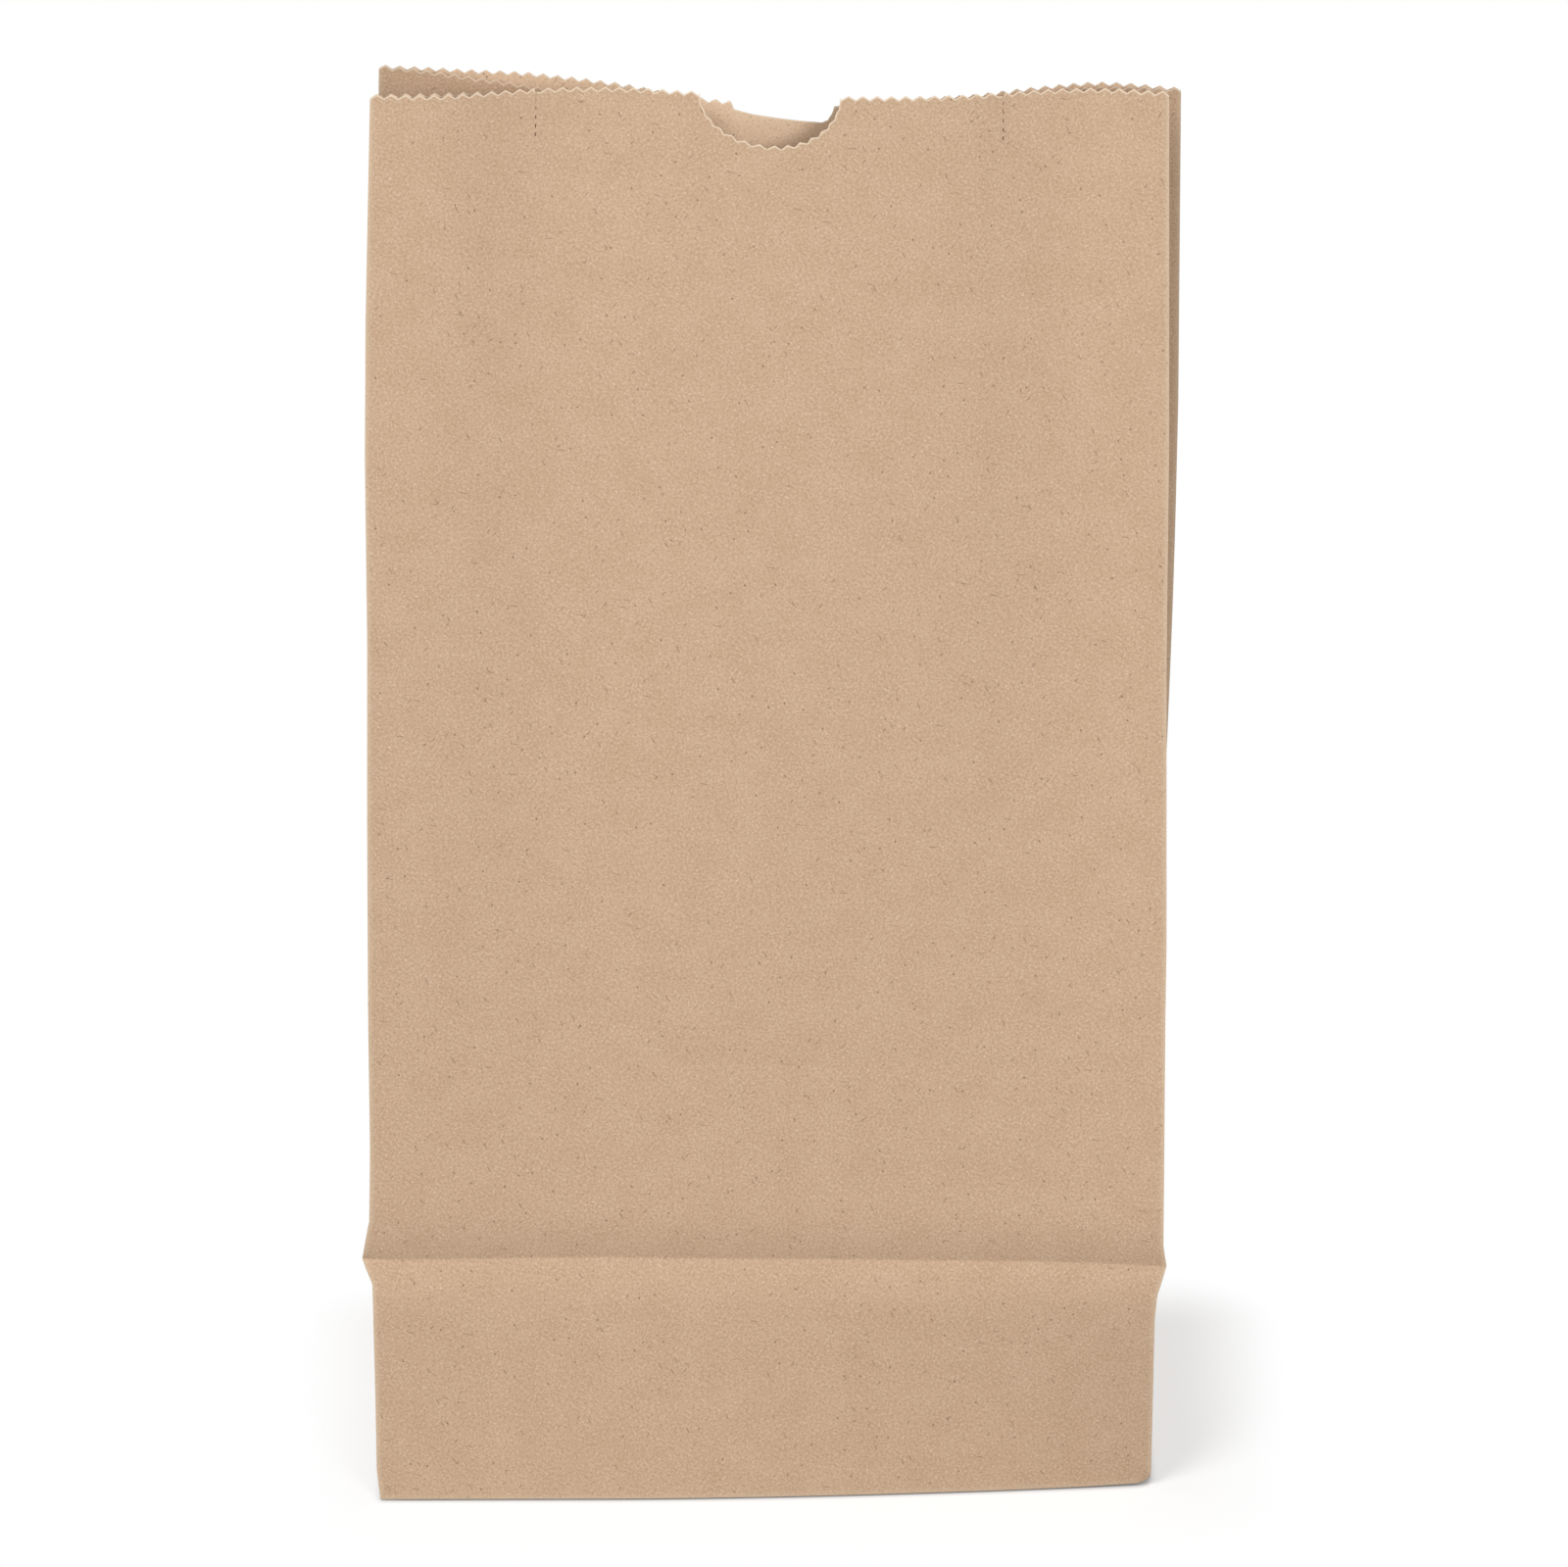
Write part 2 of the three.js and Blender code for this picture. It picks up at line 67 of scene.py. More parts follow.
# How far each upright fold stands in from the full width, as (climb, size); the front folds jut out at
# the cross crease
LEFT_FOLD_PULL_IN = [
    (0, 2.35 * MM), (6 * MM, 1.65 * MM), (20.5 * MM, 1.45 * MM), (43.7 * MM, 0.95 * MM),
    (48.3 * MM, -1 * MM), (52.8 * MM, -0.35 * MM), (56.9 * MM, 0.4 * MM), (71 * MM, 0.6 * MM),
    (98 * MM, 0.33 * MM), (139 * MM, 0.3 * MM), (173 * MM, 0.45 * MM), (210 * MM, 0.15 * MM),
    (237 * MM, 0.4 * MM), (281 * MM, 1.4 * MM),
]
RIGHT_FOLD_PULL_IN = [
    (0, 1.8 * MM), (20.5 * MM, 1.7 * MM), (37 * MM, 1.65 * MM), (42.3 * MM, 1.25 * MM),
    (48.3 * MM, -0.5 * MM), (53 * MM, 0.2 * MM), (98 * MM, 0.25 * MM), (113 * MM, 0.15 * MM),
    (169 * MM, 0.65 * MM), (210 * MM, 0.6 * MM), (281 * MM, 1.3 * MM),
]
BACK_FOLD_PULL_IN = [
    (0, 2.1 * MM), (20 * MM, 1.6 * MM), (42 * MM, 1.2 * MM), (60 * MM, 0.4 * MM), (98 * MM, 0.3 * MM),
    (210 * MM, 0.4 * MM), (281 * MM, 1.35 * MM),
]
BACK_CORNER_SHIFT = (1.6 * MM, 2.6 * MM)
BACK_SHIFT_FULL_AT = 190 * MM
FOOT_TUCK = 5.7 * MM
FOOT_TUCK_START = 0.3
CREASE_BULGE = 3.9 * MM
CREASE_BULGE_START = 0.55
CREASE_BULGE_END_CLIMB = 188 * MM
RIGHT_END_POWER = 1.7
GUSSET_DROP = 5.3 * MM
GUSSET_FOLLOWS_WALLS_AT = 110 * MM

# The cross crease, with a sharper dent at its left end, and the faint line that the folded base left
CREASE_ABOVE_GUSSET_POINT = 2.3 * MM
CREASE_DEPTH = 1.7 * MM
CREASE_REACH_UP = 10.5 * MM
CREASE_REACH_DOWN = 10.5 * MM
DENT_DEPTH = 0.35 * MM
DENT_REACH = 0.8 * MM
DENT_END = 0.024
IMPRINT_CLIMB = 88.3 * MM
IMPRINT_DEPTH = 0.06 * MM
IMPRINT_REACH = 1.4 * MM
IMPRINT_START = 0.12
IMPRINT_FULL_AT = 0.5

# The worn front right corner of the base: how far it lifts and gives way, each with its reach
CORNER_LIFT = (0, 0, 0.4 * MM)
CORNER_LIFT_REACH = 26 * MM
CORNER_BLUNT = (-0.75 * MM, 0.25 * MM, 0.65 * MM)
CORNER_BLUNT_REACH = 2.4 * MM

# Cut top edge; each point of the back wall's slanted notch is (distance right of the middle, depth)
BACK_NOTCH = [
    (-9.1 * MM, 0.3 * MM), (-8.75 * MM, 1.3 * MM), (-5.3 * MM, 2.05 * MM), (-1.6 * MM, 2.5 * MM),
    (3.8 * MM, 3.2 * MM), (7.9 * MM, 3.65 * MM), (9 * MM, 3.2 * MM), (9.8 * MM, 1.9 * MM),
    (10.3 * MM, 0.4 * MM),
]
BACK_EDGE_DIP = 1 * MM
BACK_CURL = 2 * MM
BACK_CURL_START = 200 * MM
BACK_CURL_FULL_AT = 268 * MM
SLOT_LENGTH = 0.7 * MM
SLOT_PITCH = 1.7 * MM
SLOT_WIDTH = 0.22 * MM

# Fineness of the folded sheet
COLUMN_WIDTH = 3 * MM
ROW_HEIGHT = 3 * MM
FOLD_ROUNDING = 0.25 * MM
FOLD_LINES = tuple(k * MM for k in (-2.1, -1.2, -0.55, -0.2, 0, 0.2, 0.55, 1.2, 2.1))
CREASE_LINES = tuple(
    side * k * MM for side in (-1, 1) for k in (0, 0.2, 0.5, 0.8, 1.2, 2.6, 4.5, 6.5, 8.5, 11, 14)
)
IMPRINT_LINES = tuple(k * MM for k in (-1.4, -0.7, 0, 0.7, 1.4))
FLAP_LINES = tuple(k * MM for k in (-56, -46, -36, -26, -16, -8, -3, -1.2))
SLIT_LINES = tuple(k * MM for k in (-0.7, -0.3, 0.3, 0.7))
CLOSEST_LINES = 0.12 * MM
EDGE_CUTS = 3
SHARPEST_SMOOTHED = math.radians(32)

# Wear reaches this far from a fold, and the top edge's fuzz and painted highlight are looked for down to
# this far
FOLD_WEAR_REACH = 0.9 * MM
CUT_FUZZ_AND_HIGHLIGHT_CLIMB = 20 * MM

# Where plies cross at the base and the seam
BASE_PLIES = 2.5
FLAP_STEP = 2 * MM
SEAM_STEP = MM

# Cutting
STEP_WIDTH = 0.1 * MM
OUTLINE_MARGIN = 2 * MM
CUTTER_HEIGHT = 2 * MM
CUT_CLEARANCE = 4 * MM
MERGE_DISTANCE = 0.002 * MM
NOTHING = 1e-9

# Paper
CLOUD_SIZE = 8 * MM
GRAIN_SIZE = 0.45 * MM
GRAIN_TURN = 0.6
GRAIN_HEIGHT = 0.03 * MM
CUT_FIBRE_SIZE = 0.2 * MM
FUZZ_AND_HIGHLIGHT_START = 0.36 * MM
FUZZ_AND_HIGHLIGHT_FULL_AT = 0.1 * MM

# Stage: each lamp is (place, width); the floor's shadow shows in a soft-edged rectangle round the foot
FLOOR_SIZE = 8
FLOOR_CLEARANCE = 0.02 * MM
SHADOW_CENTRE = (6 * MM, -9 * MM, 0)
SHADOW_HALF_SIZE = (73 * MM, 36 * MM, 0)
SHADOW_FADE = 25 * MM
# Reach of the painted contact shadow along the bag's foot
PAINTED_CONTACT_SHADOW_REACH = 1.5 * MM
KEY_LAMP = ((-1.09, -1.35, 2.19), 1.2)
FILL_LAMP = ((1.04, -2.23, 1.22), 1.0)
LAMP_AIM = (0, 0, 120 * MM)
CAMERA_AIM = (3.51 * MM, -10 * MM, 135.1 * MM)
IMAGE_WIDTH = 1600
SENSOR_WIDTH = 36


def linear_colour(code):
    """The linear colour of an sRGB hex code, as Blender's shaders need it."""
    values = [int(code[k : k + 2], 16) / 255 for k in (1, 3, 5)]
    return (*[v / 12.92 if v <= 0.04045 else ((v + 0.055) / 1.055) ** 2.4 for v in values], 1)


def size_property(name, description, default):
    return bpy.props.FloatProperty(
        name=name, description=description, default=default, unit="LENGTH", precision=5, min=0
    )


def colour_property(name, description, code):
    return bpy.props.FloatVectorProperty(
        name=name, description=description, default=linear_colour(code), subtype="COLOR", size=4,
        min=0, max=1,
    )


class BagSizes(bpy.types.PropertyGroup):
    wall_width: size_property("Wall width", "Width of the front and back walls", 152.4 * MM)
    base_depth: size_property("Base depth", "Depth of the base, front to back", 92 * MM)
    wall_length: size_property("Wall length", "Length of the paper from the base to the mouth", 281 * MM)
    paper: size_property("Paper", "Thickness of one ply of paper", 0.12 * MM)
    seam_width: size_property("Seam width", "Overlap of the sheet's ends at the back", 12 * MM)
    seam_offset: size_property("Seam offset", "From the middle of the back wall to the seam", 20 * MM)
    flap_overlap: size_property("Flap overlap", "How far the two bottom flaps overlap", 16 * MM)
    tooth_pitch: size_property("Tooth pitch", "Distance between the teeth of the top edge", 2.7 * MM)
    tooth_depth: size_property("Tooth depth", "Depth of the teeth of the top edge", 0.85 * MM)
    notch_left: size_property("Notch left", "From the notch's deepest place to its left end", 14.4 * MM)
    notch_right: size_property("Notch right", "From the notch's deepest place to its right end", 12.4 * MM)
    notch_depth: size_property("Notch depth", "Depth of the thumb notch", 10.3 * MM)
    notch_offset: size_property("Notch offset", "How far right of the middle its deepest place is", 1 * MM)
    notch_tooth_pitch: size_property("Notch tooth pitch", "From tooth to tooth in the notch", 2.6 * MM)
    notch_tooth_depth: size_property("Notch tooth depth", "Depth of the notch's fine teeth", 0.8 * MM)
    slit_offset: size_property("Slit offset", "From the middle of the front wall to each slit", 44.5 * MM)
    slit_length: size_property("Slit length", "Length of each slit", 10.3 * MM)
    slit_width: size_property("Slit width", "Width of each slit at the edge", 0.3 * MM)


class KraftFinish(bpy.types.PropertyGroup):
    kraft: colour_property("Kraft", "Mean colour of the brown paper", "#CDAE91")
    cloud: colour_property("Cloud", "Colour of the denser clouds of pulp", "#C4A486")
    hollow: colour_property("Hollow", "Colour between the surface fibres", "#A98A6B")
    crest: colour_property("Crest", "Colour of the raised surface fibres", "#EAD0B4")
    fleck: colour_property("Fleck", "Colour of bark flecks and dark fibres", "#6E5138")
    speck: colour_property("Speck", "Colour of pale specks", "#F0DFC9")
    worn: colour_property("Worn fold", "Colour of the rubbed paper along a fold", "#E0CAAF")
    # Painted light: this paler colour on the inner side brightens the inside of the bag
    inner: colour_property("Inner side", "Mean colour of the smoother, paler inner side", "#EACDAF")
    # Partly the paler open fibres of a cut, partly painted highlight along the cut edges
    cut: colour_property("Cut edge", "Colour of the open fibres along a cut", "#F0DCC2")
    roughness: bpy.props.FloatProperty(
        name="Roughness", description="Roughness of the paper", default=0.88, min=0, max=1, subtype="FACTOR"
    )


class StageSettings(bpy.types.PropertyGroup):
    floor: colour_property("Floor", "Colour of the floor", "#BEBEBE")
    floor_glow: bpy.props.FloatProperty(
        name="Floor glow", description="How much whiter the camera sees the floor than it is lit",
        default=0.56, min=0,
    )
    key_strength: bpy.props.FloatProperty(
        name="Key light", description="Strength of the main light from above the front left",
        default=39, min=0,
    )
    fill_strength: bpy.props.FloatProperty(
        name="Fill light", description="Strength of the low light from the front right",
        default=28, min=0,
    )
    room_strength: bpy.props.FloatProperty(
        name="Room light", description="Strength of the even light from all sides", default=0.25, min=0
    )
    camera_distance: size_property("Camera distance", "From the camera to the bag", 3.374)
    camera_elevation: bpy.props.FloatProperty(
        name="Camera elevation", description="Height of the camera above the horizon",
        default=math.radians(25), subtype="ANGLE",
    )
    camera_turn: bpy.props.FloatProperty(
        name="Camera turn", description="Turn of the camera to the right",
        default=math.radians(0.98), subtype="ANGLE",
    )
    camera_roll: bpy.props.FloatProperty(
        name="Camera roll", description="Roll of the camera", default=math.radians(0.33), subtype="ANGLE"
    )
    pixels_per_metre: bpy.props.FloatProperty(
        name="Pixels per metre", description="Size of the bag in an image 1600 pixels wide",
        default=5350, min=1,
    )


# Form of the bag


def blend(start, end, share):
    return start + (end - start) * share


def smooth_step(value, start, end):
    share = np.clip((value - start) / (end - start), 0, 1)
    return share * share * (3 - 2 * share)


def curve_through(points, place):
    """A smooth curve through (place, value) points."""
    places, values = np.array(points, dtype=float).T
    number = np.arange(len(places))
    before = np.maximum(number - 1, 0)
    after = np.minimum(number + 1, len(places) - 1)
    slopes = (values[after] - values[before]) / (places[after] - places[before])
    place = np.asarray(place, dtype=float)
    i = np.clip(np.searchsorted(places, place) - 1, 0, len(places) - 2)
    span = places[i + 1] - places[i]
    t = (place - places[i]) / span
    rise = (2 * t**3 - 3 * t**2 + 1) * values[i] + (3 * t**2 - 2 * t**3) * values[i + 1]
    bend = (t**3 - 2 * t**2 + t) * slopes[i] + (t**3 - t**2) * slopes[i + 1]
    return rise + bend * span


def straight_through(points, place):
    """Straight lines through (place, value) points."""
    places, values = zip(*points)
    return np.interp(place, places, values)


def towards_right_end(share, start):
    """0 up to a start, then rising ever faster to 1 at the right end."""
    return (np.maximum(share - start, 0) / (1 - start)) ** RIGHT_END_POWER


class BagForm:
    """Where each point of the sheet stands once the bag is folded and opened."""

    def __init__(self, sizes):
        self.width = sizes.wall_width
        self.depth = sizes.base_depth
        self.length = sizes.wall_length
        self.paper = sizes.paper
        self.gusset_width = self.depth / 2
        self.crease_climb = self.gusset_width + CREASE_ABOVE_GUSSET_POINT
        self.girth = 2 * self.width + 4 * self.gusset_width
        self.seam_width = sizes.seam_width
        self.seam_along = self.width / 2 + sizes.seam_offset
        self.sheet_start = self.width + 2 * self.gusset_width + self.seam_along
        self.sheet_width = self.girth + self.seam_width
        self.base_height = BASE_PLIES * self.paper

    def near_crease(self, climb, reach):
        return np.maximum(1 - np.abs(climb - self.crease_climb) / reach, 0)

    def back_half_width(self, climb):
        return self.width / 2 - straight_through(BACK_FOLD_PULL_IN, climb)

    def mouth_depth(self, share, side):
        return curve_through(MOUTH_SWAY, share) + side * curve_through(MOUTH_GAP, share) / 2

    def right_end_shift(self, share, climb):
        tuck = FOOT_TUCK * towards_right_end(share, FOOT_TUCK_START)
        bulge = CREASE_BULGE * towards_right_end(share, CREASE_BULGE_START)
        below = blend(tuck, -bulge, climb / self.crease_climb)
        above = -bulge * (1 - smooth_step(climb, self.crease_climb, CREASE_BULGE_END_CLIMB))
        return np.where(climb <= self.crease_climb, below, above)

    def imprint(self, share, climb):
        near = np.maximum(1 - np.abs(climb - IMPRINT_CLIMB) / IMPRINT_REACH, 0)
        return IMPRINT_DEPTH * near * smooth_step(share, IMPRINT_START, IMPRINT_FULL_AT)

    def creases(self, share, climb):
        reach = np.where(climb < self.crease_climb, CREASE_REACH_DOWN, CREASE_REACH_UP)
        valley = CREASE_DEPTH * self.near_crease(climb, reach) ** 2
        dent = DENT_DEPTH * self.near_crease(climb, DENT_REACH) * (1 - smooth_step(share, 0, DENT_END))
        return valley + dent + self.imprint(share, climb)

    def front_wall(self, share, climb):
        share, climb = np.broadcast_arrays(np.asarray(share, float), np.asarray(climb, float))
        lean = (self.mouth_depth(share, -1) + self.depth / 2) * climb / self.length
        left = straight_through(LEFT_FOLD_PULL_IN, climb) - self.width / 2
        right = self.width / 2 - straight_through(RIGHT_FOLD_PULL_IN, climb)
        y = lean + self.right_end_shift(share, climb) + self.creases(share, climb) - self.depth / 2
        return np.stack([blend(left, right, share), y, np.sqrt(climb**2 - lean**2)], axis=-1)

    def back_wall(self, share, climb):
        share, climb = np.broadcast_arrays(np.asarray(share, float), np.asarray(climb, float))
        lean = (self.depth / 2 - self.mouth_depth(share, 1)) * climb / self.length
        shift = blend(*BACK_CORNER_SHIFT, share) * smooth_step(climb, 0, BACK_SHIFT_FULL_AT)
        x = (2 * share - 1) * self.back_half_width(climb) + shift
        y = self.depth / 2 - lean - self.back_curl(share, climb)
        return np.stack([x, y, np.sqrt(climb**2 - lean**2)], axis=-1)

    def back_curl(self, share, climb):
        """How far the back wall stands forward below its rim, which curls back."""
        rise = smooth_step(climb, BACK_CURL_START, BACK_CURL_FULL_AT)
        fall = np.clip((climb - BACK_CURL_FULL_AT) / (self.length - BACK_CURL_FULL_AT), 0, 1) ** 2
        return BACK_CURL * (rise - fall) * 4 * share * (1 - share)

    def middle_fold(self, side, climb):
        corner_share = (side + 1) / 2
        front = self.front_wall(corner_share, climb)
        back = self.back_wall(corner_share, climb)
        spread = np.minimum(back[..., 1] - front[..., 1], 2 * self.gusset_width)
        fold = (front + back) / 2
        fold[..., 0] -= side * np.sqrt(self.gusset_width**2 - (spread / 2) ** 2)
        fold[..., 2] -= GUSSET_DROP
        return fold

    def gusset_below_point(self, side, ply, inward, climb, corner):
        corner_share = (side + 1) / 2
        point = self.middle_fold(side, np.float64(self.gusset_width))
        rise = np.clip(climb / self.gusset_width, 0, 1)[:, None]
        on_front = blend(self.front_wall(corner_share, 0), point, rise)
        on_back = blend(self.back_wall(corner_share, 0), point, rise)
        on_crease = on_front if ply < 0 else on_back
        rest = np.maximum(self.gusset_width - climb, NOTHING)
        beyond = np.clip((inward - climb) / rest, 0, 1)[:, None]
        within = np.clip(inward / np.maximum(climb, NOTHING), 0, 1)[:, None]
        outer = blend(on_crease, (on_front + on_back) / 2, beyond)
        inner = blend(corner, on_crease, within)
        return np.where((inward > climb)[:, None], outer, inner)

    def gusset(self, side, ply, inward, climb):
        corner_share = (side + 1) / 2
        front = self.front_wall(corner_share, climb)
        back = self.back_wall(corner_share, climb)
        corner = front if ply < 0 else back
        share = inward / self.gusset_width
        fold = self.middle_fold(side, climb)
        x = blend(corner[:, 0], fold[:, 0], share)
        wall_share = np.clip((x / self.back_half_width(climb) + 1) / 2, 0, 1)
        through = share / 2 if ply < 0 else 1 - share / 2
        front_here = self.front_wall(wall_share, climb)[:, 1]
        back_here = self.back_wall(wall_share, climb)[:, 1]
        straight = blend(corner[:, 1], fold[:, 1], share)
        follow = smooth_step(climb, self.gusset_width, GUSSET_FOLLOWS_WALLS_AT)
        y = blend(straight, blend(front_here, back_here, through), follow)
        mean = (front[:, 2] + back[:, 2]) / 2
        sag = (mean - fold[:, 2]) * share ** (1 + climb / self.length)
        z = blend(front[:, 2], back[:, 2], through) - sag
        upper = np.stack([x, y, z], axis=-1)
        lower = self.gusset_below_point(side, ply, inward, climb, corner)
        return np.where((climb < self.gusset_width)[:, None], lower, upper)

    def front_flap(self, share, below):
        foot = self.front_wall(share, 0 * share)
        drop = self.paper * smooth_step(below, 0, FLAP_STEP)
        return foot + np.stack([0 * below, below, -drop], axis=-1)

    def back_flap(self, share, below):
        foot = self.back_wall(share, 0 * share)
        drop = 2 * self.paper * smooth_step(below, 0, FLAP_STEP)
        return foot + np.stack([0 * below, -below, -drop], axis=-1)

    def side_flap(self, side, ply, inward, below):
        corner_share = (side + 1) / 2
        through = inward / (2 * self.gusset_width)
        through = through if ply < 0 else 1 - through
        front = self.front_wall(corner_share, 0)
        back = self.back_wall(corner_share, 0)
        foot = blend(front, back, through[:, None])
        return foot + np.stack([-side * below, 0 * below, 0 * below], axis=-1)

    def side_panel(self, side, ply):
        """One ply of a folded-in side. Where side and ply are alike it is met from its inner fold."""

        def inward(along):
            return self.gusset_width - along if side == ply else along

        return (
            self.gusset_width,
            lambda along, climb: self.gusset(side, ply, inward(along), climb),
            lambda along, below: self.side_flap(side, ply, inward(along), below),
        )

    def panels(self):
        """Width, place when standing and place when folded under, in order round the bag."""
        width = self.width
        return [
            (
                width,
                lambda along, climb: self.front_wall(along / width, climb),
                lambda along, below: self.front_flap(along / width, below),
            ),
            self.side_panel(1, -1),
            self.side_panel(1, 1),
            (
                width,
                lambda along, climb: self.back_wall(1 - along / width, climb),
                lambda along, below: self.back_flap(1 - along / width, below),
            ),
            self.side_panel(-1, 1),
            self.side_panel(-1, -1),
        ]

    def folded(self, around, climb):
        """Points of the middle of the paper, with sharp folds."""
        along = (around + self.sheet_start) % self.girth
        points = np.zeros((len(around), 3))
        start = 0
        for width, standing, under in self.panels():
            here = (along >= start) & (along <= start + width)
            a, c = along[here] - start, climb[here]
            place = standing(a, np.maximum(c, 0))
            place[c < 0] = under(a[c < 0], -c[c < 0])
            points[here] = place
            start += width
        points[:, 2] += self.base_height
        return points + self.corner_wear(points)

    def corner_wear(self, points):
        """How far each point gives way at the worn front right corner of the base."""
        corner = np.array((self.width / 2 - RIGHT_FOLD_PULL_IN[0][1], FOOT_TUCK - self.depth / 2, 0))
        away = np.linalg.norm(points - corner, axis=1, keepdims=True)
        lift = np.maximum(1 - away / CORNER_LIFT_REACH, 0) ** 2 * CORNER_LIFT
        return lift + np.maximum(1 - away / CORNER_BLUNT_REACH, 0) * CORNER_BLUNT

    def rounded(self, around, climb):
        """The same points with each fold rounded a little."""
        nearby = ((-FOLD_ROUNDING, 0.25), (0, 0.5), (FOLD_ROUNDING, 0.25))
        total = 0
        for aside, across in nearby:
            for above, up in nearby:
                total = total + across * up * self.folded(around + aside, climb + above)
        return total

    def seam_lift(self, around, climb):
        """How far the outer end of the sheet stands off, over the inner end."""
        over_seam = smooth_step(around, self.girth - SEAM_STEP, self.girth)
        return self.paper * over_seam * smooth_step(climb, -SEAM_STEP, 0)

    def bend(self, flat):
        """Moves points of the flat sheet, whose third coordinate is the height over its middle."""
        around, climb, height = flat.T
        step = 0.05 * MM
        middle = self.rounded(around, climb)
        across = self.rounded(around + step, climb) - self.rounded(around - step, climb)
        up = self.rounded(around, climb + step) - self.rounded(around, climb - step)
        outward = np.cross(across, up)
        outward /= np.maximum(np.linalg.norm(outward, axis=1, keepdims=True), NOTHING**2)
        return middle + outward * (height + self.seam_lift(around, climb))[:, None]


# Outline of the flat sheet


def even_steps(start, end, step):
    return list(np.linspace(start, end, max(1, round((end - start) / step)) + 1))


def toothed_edge(sizes, width):
    teeth = max(1, round(width / sizes.tooth_pitch))
    pitch = width / teeth
    low = sizes.wall_length - sizes.tooth_depth
    points = []
    for k in range(teeth):
        points.append((k * pitch, low))
        points.append(((k + 0.5) * pitch, sizes.wall_length))
    points.append((width, low))
    return points


def cut_into(edge, cut):
    """Puts the points of a cut in the place of the stretch of edge that it removes."""
    start = cut[0][0] - STEP_WIDTH
    end = cut[-1][0] + STEP_WIDTH
    return [p for p in edge if p[0] < start] + cut + [p for p in edge if p[0] > end]


def thumb_notch(sizes):
    """An oval, narrower on its right, whose edge has fine teeth that are deepest at its bottom."""
    middle = sizes.wall_width / 2 + sizes.notch_offset
    mouth = sizes.wall_length - sizes.tooth_depth / 2
    edge_length = math.pi * math.hypot(sizes.notch_left, sizes.notch_depth) * math.sqrt(0.5)
    steps = 2 * round(edge_length / sizes.notch_tooth_pitch)
    points = [(middle - sizes.notch_left, mouth)]
    for k in range(1, steps):
        turn = blend(-math.pi / 2, math.pi / 2, k / steps)
        reach = sizes.notch_left if turn < 0 else sizes.notch_right
        tooth = (k % 2) * sizes.notch_tooth_depth * math.cos(turn)
        rise = (sizes.notch_depth - tooth) * math.cos(turn)
        points.append((middle + (reach - tooth) * math.sin(turn), mouth - rise))
    points.append((middle + sizes.notch_right, mouth))
    return points


def slit_mouth(sizes, middle):
    """The top of a slit, where its line of slots runs out of the edge."""
    low = sizes.wall_length - sizes.tooth_depth
    half = sizes.slit_width / 2
    return [(middle - half, low), (middle, low - SLOT_LENGTH), (middle + half, low)]


def front_edge(sizes):
    middle = sizes.wall_width / 2
    edge = toothed_edge(sizes, sizes.wall_width)
    left_slit = slit_mouth(sizes, middle - sizes.slit_offset)
    right_slit = slit_mouth(sizes, middle + sizes.slit_offset)
    for cut in (left_slit, thumb_notch(sizes), right_slit):
        edge = cut_into(edge, cut)
    return edge


def back_edge(sizes):
    """The back wall's edge sags a little between its folds; it is drawn from the right fold."""
    middle = sizes.wall_width / 2
    rim = sizes.wall_length - sizes.tooth_depth / 2
    notch = [(middle - right, rim - depth) for right, depth in reversed(BACK_NOTCH)]
    points = []
    for along, climb in cut_into(toothed_edge(sizes, sizes.wall_width), notch):
        share = along / sizes.wall_width
        points.append((along, climb - 4 * BACK_EDGE_DIP * share * (1 - share)))
    return points


def sheet_folds(form):
    """Where the six upright folds are along the flat sheet, with the sheet's panels between them."""
    first = form.width - form.seam_along
    widths = [form.gusset_width, form.gusset_width, form.width, form.gusset_width, form.gusset_width]
    return [first + sum(widths[:k]) for k in range(6)]


def slit_places(sizes, form):
    """Where the two slits are along the flat sheet."""
    middle = sheet_folds(form)[2] + form.width / 2
    return [middle - sizes.slit_offset, middle + sizes.slit_offset]


def top_outline(sizes, form):
    folds = sheet_folds(form)
    side = toothed_edge(sizes, form.gusset_width)
    edges = [
        (folds[0] - form.width, back_edge(sizes)),
        (folds[0], side),
        (folds[1], side),
        (folds[2], front_edge(sizes)),
        (folds[3], side),
        (folds[4], side),
        (folds[5], back_edge(sizes)),
    ]
    points = []
    for start, edge in edges:
        moved = [(start + along, climb) for along, climb in edge]
        points += moved if not points else moved[1:]
    return [p for p in points if -OUTLINE_MARGIN < p[0] < form.sheet_width + OUTLINE_MARGIN]


def bottom_outline(sizes, form):
    """The trimmed ends of the flaps; each narrows from its fold, and the corners part there."""
    folds = sheet_folds(form)
    flap = (form.depth + sizes.flap_overlap) / 2
    side_flap = form.gusset_width
    side_run = 0.9 * side_flap
    apex = -0.15 * MM
    seam_end = form.seam_width + STEP_WIDTH
    end = form.sheet_width + OUTLINE_MARGIN
    return [
        (-OUTLINE_MARGIN, -SEAM_STEP),
        (seam_end, -SEAM_STEP),
        (seam_end + STEP_WIDTH, seam_end + STEP_WIDTH - folds[0]),
        (folds[0], apex),
        (folds[0] + side_run, -side_flap),
        (folds[2] - side_run, -side_flap),
        (folds[2], apex),
        (folds[2] + flap, -flap),
        (folds[3] - flap, -flap),
        (folds[3], apex),
        (folds[3] + side_run, -side_flap),
        (folds[5] - side_run, -side_flap),
        (folds[5], apex),
        (folds[5] + flap, -flap),
        (folds[5] + form.width - flap, -flap),
        (end, end - folds[5] - form.width),
    ]


# Modelling


def deselect_all():
    if bpy.context.object and bpy.context.object.mode != "OBJECT":
        bpy.ops.object.mode_set(mode="OBJECT")
    bpy.ops.object.select_all(action="DESELECT")


